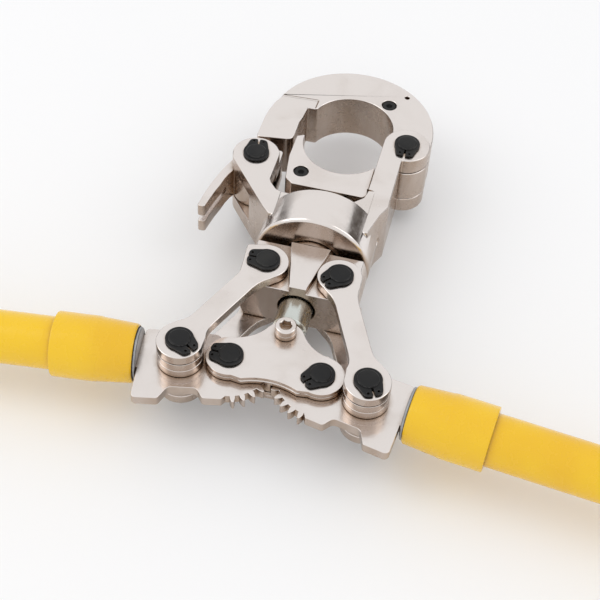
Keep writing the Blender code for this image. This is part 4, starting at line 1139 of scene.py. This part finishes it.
def plug_piece(name, x, y, body, node):
    """Small dark plug with a dimple, standing in its seat."""
    seat = PLUG_SEAT_LOW + GAP
    profile = [
        (0.0, 9.2), (1.3, 9.4), (1.5, 11.2), (1.8, 11.6), (3.1, 11.6), (3.4, 11.45),
        (PLUG_R, 11.1), (PLUG_R, seat), (0.0, seat)]
    finish(lathe(name, profile, 48), turn_about_z(0.0, x, y), body, "black_oxide", 0.0, node)


def plug_seat(x, y):
    return cylinder("plug_seat", PLUG_SEAT_R, PLUG_SEAT_LOW, 20.0, at=(x, y, 0.0), segments=48)


def build_ring():
    edge = bpy.context.scene.press_tool_sizes.forged_round
    piece = prism("upper_jaw_dress", jaw_outline(), -RING_HALF_THICK, RING_HALF_THICK)
    tools = [cylinder("pin_hole", HOLE_R, -20.0, 20.0, at=(*HINGE, 0.0))]
    for sign in (1, -1):
        low, high = sorted((sign * TONGUE_HALF, sign * (RING_HALF_THICK + 2.0)))
        tools.append(cylinder("relief", 12.15, low, high, at=(*HINGE, 0.0), segments=96))
    tools.append(block("catch_slot", (-70.0, 80.0, -6.4), (-34.6, 119.0, 6.4)))
    tools.append(plug_seat(*JAW_PLUG))
    tools.append(cylinder("rim_hole", 1.2, 8.0, 20.0, at=(23.7, 137.5, 0.0), segments=24))
    step = [
        (-44.2, 121.0), (-39.4, 121.1), (-20.7, 122.1), (-21.5, 110.0), (-27.5, 84.0),
        (-50.0, 84.0), (-50.0, 121.0)]
    tools.append(prism("milled_step", step, RING_HALF_THICK - 0.35, RING_HALF_THICK + 4.0))
    cut(piece, *tools)
    finish(piece, turn_about_z(0.0), "jaw", "satin_nickel", edge, "upper_jaw")
    plug_piece("jaw_plug_dress", *JAW_PLUG, "jaw", "jaw_plug")


def build_holder():
    edge = bpy.context.scene.press_tool_sizes.edge_round
    seat = arc(0.0, RING_Y, RING_BORE_R, 176.0, 324.0)
    corners = rounded([
        (HOLDER_RIGHT, 93.6, 0.0), (HOLDER_RIGHT, HOLDER_BOTTOM, 3.0),
        (-19.6, HOLDER_BOTTOM, 1.8), (-23.7, 75.2, 1.8), (-25.6, 91.0, 6.0),
        (-25.2, 106.6, 0.0)])
    piece = prism("die_holder_dress", seat + corners, -RING_HALF_THICK, RING_HALF_THICK)
    tools = [plug_seat(*HOLDER_PLUG)]
    for z in (7.0, -7.0):
        tools.append(cylinder("seat_hole", 1.8, -6.0, 6.0, "Y", (-6.0, 84.0, z), 32))
    tools.append(cylinder("seat_recess", 4.2, -2.0, 4.0, "Y", (4.5, 84.6, 0.0), 48))
    cut(piece, *tools)
    place = turn_about_z(0.0, 0.0, -RAM_STROKE)
    finish(piece, place, "die_holder", "satin_nickel", edge, "die_holder")
    x, y = HOLDER_PLUG
    plug_piece("holder_plug_dress", x, y - RAM_STROKE, "die_holder", "holder_plug")


def build_latch():
    edge = bpy.context.scene.press_tool_sizes.edge_round
    lobe = arc(*CATCH, LATCH_LOBE_R, -150.0, -6.0)
    top = [(-29.6, 76.0), (-29.8, 81.6), (-30.8, 82.6), (-44.6, 82.6), (-46.0, 81.8)]
    back = [
        (-48.6, 79.0), (-50.6, 75.4), (-53.6, 68.0), (-55.8, 62.0), (-57.6, 55.5),
        (-59.0, 49.5), (-60.2, 42.0), (-60.9, 36.0), (-61.0, 33.9)]
    front = [
        (-60.4, 33.4), (-58.2, 33.4), (-57.3, 34.0), (-56.6, 38.0), (-55.3, 45.0),
        (-53.9, 50.5), (-53.1, 55.0), (-51.8, 59.2)]
    piece = prism("latch_dress", lobe + top + back + front, -TONGUE_HALF, TONGUE_HALF)
    pillar = rounded([
        (-37.6, 78.0, 0.0), (-37.6, 105.4, 1.0), (-35.2, 106.6, 0.8), (-35.2, 115.6, 1.0),
        (-36.8, 117.6, 1.5), (-41.2, 117.6, 2.5), (-43.6, 108.0, 6.0), (-44.6, 100.0, 6.0),
        (-44.9, 78.0, 0.0)])
    join(piece, prism("pillar", pillar, -PILLAR_HALF, PILLAR_HALF))
    x, y = CATCH
    cut(piece,
        cylinder("pin_hole", HOLE_R, -20.0, 20.0, at=(x, y, 0.0)),
        cylinder("spring_pocket", SPRING_POCKET_R, -SPRING_HALF, SPRING_HALF, at=(x, y, 0.0)),
        block("spring_mouth", (x, y - 5.5, -SPRING_HALF), (x + 20.0, y + 9.0, SPRING_HALF)),
        block("tail_gap", (x - 30.0, y - 60.0, -1.8), (x - 12.3, y - 8.0, 1.8)))
    finish(piece, turn_about_z(0.0), "latch", "satin_nickel", edge, "latch")


def along_handle(side):
    """Place of the handle's pieces, which are turned about their own length."""
    turn = side * (HANDLE_TILT - HANDLE_OPEN_ANGLE)
    axis = Matrix.Rotation(math.radians(side * 90.0), 4, "Y")
    return turn_about_z(turn, side * LOWER_PIVOT_X, CARRIAGE_Y) @ axis


def socket_piece(name):
    """Steel end of the tube, with a slot for the bracket's tang in its wall."""
    bore = math.hypot(TANG_HALF, BRACKET_HALF) + GAP
    sleeve = TUBE_BORE_R - GAP
    wall, step, end = SOCKET_START + 2.6, TUBE_START - GAP, TUBE_START + 12.0
    piece = lathe(name, [
        (0.0, wall), (bore, wall), (bore, end), (sleeve, end), (sleeve, step), (TUBE_R, step),
        (TUBE_R, SOCKET_START + 0.4), (TUBE_R - 0.4, SOCKET_START), (0.0, SOCKET_START)], 64)
    x, y = BRACKET_HALF + GAP, TANG_HALF + GAP
    return cut(piece, block("tang_slot", (-x, -y, SOCKET_START - 2.0), (x, y, wall + 2.0)))


def grip_profile():
    """Rubber grip with ribs round it."""
    bore = INNER_R + GAP
    profile = [
        (bore, GRIP_END), (GRIP_R - 1.0, GRIP_END), (GRIP_R - 0.2, GRIP_END - 0.6),
        (GRIP_R, GRIP_END - 1.5)]
    pitch = (GRIP_END - GRIP_START - 20.0) / GRIP_RIBS
    for i in range(GRIP_RIBS):
        top = GRIP_END - 8.0 - i * pitch
        profile += [
            (GRIP_R, top), (GRIP_R - 0.75, top - 0.9), (GRIP_R - 0.95, top - 2.0),
            (GRIP_R - 0.75, top - 3.1), (GRIP_R, top - 4.0)]
    return profile + [
        (GRIP_R, GRIP_START + 2.0), (GRIP_R - 1.2, GRIP_START), (bore, GRIP_START)]


def build_handles():
    tube = [
        (TUBE_BORE_R, TUBE_END), (TUBE_R - 0.5, TUBE_END), (TUBE_R, TUBE_END - 0.5),
        (TUBE_R, TUBE_START + 0.5), (TUBE_R - 0.5, TUBE_START), (TUBE_BORE_R, TUBE_START)]
    sleeve = TUBE_R + GAP
    collar = [
        (sleeve, COLLAR_END), (COLLAR_R - 0.7, COLLAR_END), (COLLAR_R - 0.2, COLLAR_END - 0.2),
        (COLLAR_R, COLLAR_END - 0.7), (COLLAR_R, COLLAR_TAPER_END + 2.0),
        (COLLAR_R - 0.06, COLLAR_TAPER_END + 1.0), (COLLAR_R - 0.3, COLLAR_TAPER_END),
        (sleeve + 1.1, SOCKET_START + 2.4), (sleeve + 0.6, SOCKET_START + 1.6),
        (sleeve, SOCKET_START + 1.3)]
    inner = [
        (INNER_BORE_R, GRIP_END), (INNER_R, GRIP_END), (INNER_R, INNER_START),
        (INNER_BORE_R, INNER_START)]
    plug = INNER_BORE_R - GAP
    cap = [
        (0.0, GRIP_END + 8.0), (GRIP_R - 6.0, GRIP_END + 7.9), (GRIP_R - 3.0, GRIP_END + 7.0),
        (GRIP_R - 1.2, GRIP_END + 5.0), (GRIP_R - 0.5, GRIP_END + 2.4),
        (GRIP_R - 0.4, GRIP_END + GAP), (plug, GRIP_END + GAP), (plug, GRIP_END - 14.0),
        (0.0, GRIP_END - 14.0)]
    for label, side in SIDES:
        place = along_handle(side)
        body, slide = "bracket_" + label, "extension_" + label
        node = "handle_socket_" + label
        finish(socket_piece(node + "_dress"), place, body, "bare_steel", 0.0, node)
        for stem, profile, segments, carrier, slot, edge in (
                ("handle_tube", tube, 96, body, "yellow_coating", 0.0),
                ("handle_collar", collar, 96, body, "yellow_coating", 0.0),
                ("inner_tube", inner, 64, slide, "bare_steel", 0.0002),
                ("grip", grip_profile(), 80, slide, "black_rubber", 0.0),
                ("grip_cap", cap, 80, slide, "black_rubber", 0.0)):
            node = stem + "_" + label
            piece = lathe(node + "_dress", profile, segments, closed=profile is not cap)
            finish(piece, place, carrier, slot, edge, node)


# ---------------------------------------------------------------- stage

CAMERA_AZIMUTH = math.radians(-10.5)
CAMERA_ELEVATION = math.radians(51.06)
CAMERA_ROLL = math.radians(4.05)
CAMERA_DISTANCE = 0.6036
CAMERA_TARGET = (7.33, -33.3, 0.0)
CAMERA_SHIFT_UP = 0.08
FOCAL_PIXELS = 1322.0
IMAGE_SIZE = 600.0
SENSOR = 36.0
BLACK = (0.0, 0.0, 0.0)
BACKDROP = (0.9, 0.9, 0.9)
SKY_LIGHT = (0.95, 0.95, 0.96)
FLOOR_TONES = (0.88, 0.88, 0.88), (0.9, 0.9, 0.9)
FLOOR_HALF = 30.0
FLOOR_Z = -0.0002
FADE_START, FADE_END = 0.8, 2.2
FLAG_TONES = (0.05, 0.04, 0.035), (0.09, 0.075, 0.06)
FLAG_R = 1.3
FLAG_HEIGHTS = 0.02, 0.55
FLAG_SPANS = ((15.0, 62.0), (130.0, 150.0))
FLAG_STEPS = 48
MATT = 0.9


def build_camera():
    """Camera at the picture's viewing angle, rolled a little as the picture is."""
    camera = add_object("studio_camera", bpy.data.cameras.new("studio_camera"))
    level = math.cos(CAMERA_ELEVATION)
    ahead = Vector((
        math.sin(CAMERA_AZIMUTH) * level, math.cos(CAMERA_AZIMUTH) * level,
        -math.sin(CAMERA_ELEVATION)))
    right = ahead.cross(Vector((0.0, 0.0, 1.0))).normalized()
    up = right.cross(ahead)
    cos_roll, sin_roll = math.cos(CAMERA_ROLL), math.sin(CAMERA_ROLL)
    rolled_right = right * cos_roll + up * sin_roll
    rolled_up = up * cos_roll - right * sin_roll
    turn = Matrix((rolled_right, rolled_up, -ahead)).transposed().to_4x4()
    target = ORIGIN + Vector(CAMERA_TARGET) * MM
    camera.matrix_world = Matrix.Translation(target - ahead * CAMERA_DISTANCE) @ turn
    camera.data.sensor_fit = "HORIZONTAL"
    camera.data.sensor_width = SENSOR
    camera.data.lens = SENSOR * FOCAL_PIXELS / IMAGE_SIZE
    camera.data.shift_y = CAMERA_SHIFT_UP
    bpy.context.scene.camera = camera


def rays_that_show_backdrop(tree):
    """1 for camera, glossy and transmission rays, 0 for the light on the tool."""
    seen = add_node(tree, "LightPath").outputs
    shown = combine_values(tree, "MAXIMUM", seen["Is Camera Ray"], seen["Is Glossy Ray"])
    return combine_values(tree, "MAXIMUM", shown, seen["Is Transmission Ray"])


def matt_material(name):
    """Plain studio material without gloss, and where a point of it is."""
    tree, shader = start_material(name, 0.0)
    shader.inputs["Roughness"].default_value = MATT
    return tree, shader, object_space(tree)


def build_floor():
    """Pale floor that fades into the backdrop far from the tool."""
    work = bmesh.new()
    for x, y in ((-1, -1), (1, -1), (1, 1), (-1, 1)):
        work.verts.new((x * FLOOR_HALF, y * FLOOR_HALF, FLOOR_Z))
    work.faces.new(work.verts)
    floor = new_piece("studio_floor", work)
    tree, shader, where = matt_material("studio_floor")
    shader.inputs["Specular IOR Level"].default_value = 0.0
    shader.inputs["Emission Strength"].default_value = 1.0
    tone = mix_colour(tree, noise(tree, where, 3.0, 2.0), *FLOOR_TONES)
    reach = add_node(tree, "VectorMath", operation="LENGTH")
    tree.links.new(where, reach.inputs[0])
    far = ramp(tree, reach.outputs["Value"], FADE_START, FADE_END)
    far = times(tree, far, rays_that_show_backdrop(tree))
    tree.links.new(mix_colour(tree, far, tone, BLACK), shader.inputs["Base Color"])
    tree.links.new(mix_colour(tree, far, BLACK, BACKDROP), shader.inputs["Emission Color"])
    floor.data.materials.append(bpy.data.materials["studio_floor_finish"])
    floor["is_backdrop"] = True


def build_flags():
    """Low dark cards round the set, seen only in polished metal."""
    work = bmesh.new()
    rings = []
    for height in FLAG_HEIGHTS:
        spots = circle(0.0, 0.0, FLAG_R, FLAG_STEPS)
        rings.append([work.verts.new((x, y, height)) for x, y in spots])
    for i in range(FLAG_STEPS):
        degrees = 360.0 * i / FLAG_STEPS
        if any(start < degrees < end for start, end in FLAG_SPANS):
            n = (i + 1) % FLAG_STEPS
            work.faces.new((rings[0][i], rings[0][n], rings[1][n], rings[1][i]))
    card = new_piece("studio_flags", work)
    tree, shader, where = matt_material("studio_flags")
    tone = mix_colour(tree, noise(tree, where, 2.0, 1.0), *FLAG_TONES)
    tree.links.new(tone, shader.inputs["Base Color"])
    card.data.materials.append(bpy.data.materials["studio_flags_finish"])
    card.visible_camera = False
    card.visible_diffuse = False
    card.visible_shadow = False
    card.visible_transmission = False
    card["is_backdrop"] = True


def build_lamp(name, spot, size, power):
    """Soft rectangular lamp aimed at the tool."""
    lamp = add_object(name, bpy.data.lights.new(name, "AREA"))
    lamp.data.shape = "RECTANGLE"
    lamp.data.size, lamp.data.size_y = size
    lamp.data.energy = power
    lamp.location = spot
    lamp.rotation_euler = (-Vector(spot)).to_track_quat("-Z", "Y").to_euler()


def build_world():
    """Even light from all sides, with the backdrop where it is seen."""
    world = bpy.data.worlds.new("studio_world")
    world.use_nodes = True
    bpy.context.scene.world = world
    tree = world.node_tree
    background = tree.nodes["Background"]
    plain = mix_colour(tree, rays_that_show_backdrop(tree), SKY_LIGHT, BACKDROP)
    tree.links.new(plain, background.inputs["Color"])
    background.inputs["Strength"].default_value = 1.0


def build_stage():
    build_camera()
    build_floor()
    build_flags()
    build_world()
    build_lamp("key_lamp", (-0.9, -0.25, 1.0), (0.7, 1.0), 2.6)
    build_lamp("fill_lamp", (0.9, 0.1, 0.9), (0.5, 0.9), 1.4)
    bpy.context.scene.view_settings.view_transform = "Standard"


# ---------------------------------------------------------------- operators


class PRESS_TOOL_OT_materials(bpy.types.Operator):
    """Make the finishes of all pieces"""

    bl_idname = "press_tool.materials"
    bl_label = "Finishes"
    bl_options = {"REGISTER", "UNDO"}

    def execute(self, context):
        build_materials()
        return {"FINISHED"}


class PRESS_TOOL_OT_yoke(bpy.types.Operator):
    """Build the yoke with its raised web and swivel spigot"""

    bl_idname = "press_tool.yoke"
    bl_label = "Yoke"
    bl_options = {"REGISTER", "UNDO"}

    def execute(self, context):
        build_yoke()
        return {"FINISHED"}


class PRESS_TOOL_OT_head(bpy.types.Operator):
    """Build the forked head, its set screw and the latch spring"""

    bl_idname = "press_tool.head"
    bl_label = "Swivel head"
    bl_options = {"REGISTER", "UNDO"}

    def execute(self, context):
        build_head()
        return {"FINISHED"}


class PRESS_TOOL_OT_press_ring(bpy.types.Operator):
    """Build the hinged press ring and its plug"""

    bl_idname = "press_tool.press_ring"
    bl_label = "Press ring"
    bl_options = {"REGISTER", "UNDO"}

    def execute(self, context):
        build_ring()
        return {"FINISHED"}


class PRESS_TOOL_OT_latch(bpy.types.Operator):
    """Build the latch with its two-pronged thumb tail"""

    bl_idname = "press_tool.latch"
    bl_label = "Latch"
    bl_options = {"REGISTER", "UNDO"}

    def execute(self, context):
        build_latch()
        return {"FINISHED"}


class PRESS_TOOL_OT_die_holder(bpy.types.Operator):
    """Build the rising die holder and its plug"""

    bl_idname = "press_tool.die_holder"
    bl_label = "Die holder"
    bl_options = {"REGISTER", "UNDO"}

    def execute(self, context):
        build_holder()
        return {"FINISHED"}


class PRESS_TOOL_OT_links(bpy.types.Operator):
    """Build the four toggle links"""

    bl_idname = "press_tool.links"
    bl_label = "Toggle links"
    bl_options = {"REGISTER", "UNDO"}

    def execute(self, context):
        build_links()
        return {"FINISHED"}


class PRESS_TOOL_OT_brackets(bpy.types.Operator):
    """Build the geared handle brackets and their spacers"""

    bl_idname = "press_tool.brackets"
    bl_label = "Brackets"
    bl_options = {"REGISTER", "UNDO"}

    def execute(self, context):
        build_brackets()
        return {"FINISHED"}


class PRESS_TOOL_OT_carriage(bpy.types.Operator):
    """Build the centre plates, the push rod and its screw"""

    bl_idname = "press_tool.carriage"
    bl_label = "Carriage"
    bl_options = {"REGISTER", "UNDO"}

    def execute(self, context):
        build_carriage()
        return {"FINISHED"}


class PRESS_TOOL_OT_pins(bpy.types.Operator):
    """Build all pivot pins and retaining rings"""

    bl_idname = "press_tool.pins"
    bl_label = "Pins"
    bl_options = {"REGISTER", "UNDO"}

    def execute(self, context):
        build_pins()
        return {"FINISHED"}


class PRESS_TOOL_OT_handles(bpy.types.Operator):
    """Build the handles with their telescopic grips"""

    bl_idname = "press_tool.handles"
    bl_label = "Handles"
    bl_options = {"REGISTER", "UNDO"}

    def execute(self, context):
        build_handles()
        return {"FINISHED"}


class PRESS_TOOL_OT_stage(bpy.types.Operator):
    """Build the camera, the floor and the lights"""

    bl_idname = "press_tool.stage"
    bl_label = "Stage"
    bl_options = {"REGISTER", "UNDO"}

    def execute(self, context):
        build_stage()
        return {"FINISHED"}


OPERATORS = (
    PRESS_TOOL_OT_materials, PRESS_TOOL_OT_yoke, PRESS_TOOL_OT_head,
    PRESS_TOOL_OT_press_ring, PRESS_TOOL_OT_latch, PRESS_TOOL_OT_die_holder,
    PRESS_TOOL_OT_links, PRESS_TOOL_OT_brackets, PRESS_TOOL_OT_carriage,
    PRESS_TOOL_OT_pins, PRESS_TOOL_OT_handles, PRESS_TOOL_OT_stage,
)


class PRESS_TOOL_PT_panel(bpy.types.Panel):
    """Lists the build steps and their settings"""

    bl_idname = "PRESS_TOOL_PT_panel"
    bl_label = "Press Tool"
    bl_space_type = "VIEW_3D"
    bl_region_type = "UI"
    bl_category = "Press Tool"

    def draw(self, context):
        for group in (context.scene.press_tool_sizes, context.scene.press_tool_colours):
            for name in group.__annotations__:
                self.layout.prop(group, name)
        for operator in OPERATORS:
            self.layout.operator(operator.bl_idname)


CLASSES = (PressToolSizes, PressToolColours, *OPERATORS, PRESS_TOOL_PT_panel)


def register():
    for item in CLASSES:
        bpy.utils.register_class(item)
    bpy.types.Scene.press_tool_sizes = bpy.props.PointerProperty(type=PressToolSizes)
    bpy.types.Scene.press_tool_colours = bpy.props.PointerProperty(type=PressToolColours)


def unregister():
    del bpy.types.Scene.press_tool_sizes
    del bpy.types.Scene.press_tool_colours
    for item in reversed(CLASSES):
        bpy.utils.unregister_class(item)


def main():
    register()
    build = bpy.ops.press_tool
    build.materials()
    build.yoke()
    build.head()
    build.press_ring()
    build.latch()
    build.die_holder()
    build.links()
    build.brackets()
    build.carriage()
    build.pins()
    build.handles()
    build.stage()
    boxes = {"cad": CAD_BOX, "visual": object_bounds()}
    boxes = {name: [list(corner) for corner in box] for name, box in boxes.items()}


if __name__ == "__main__":
    main()
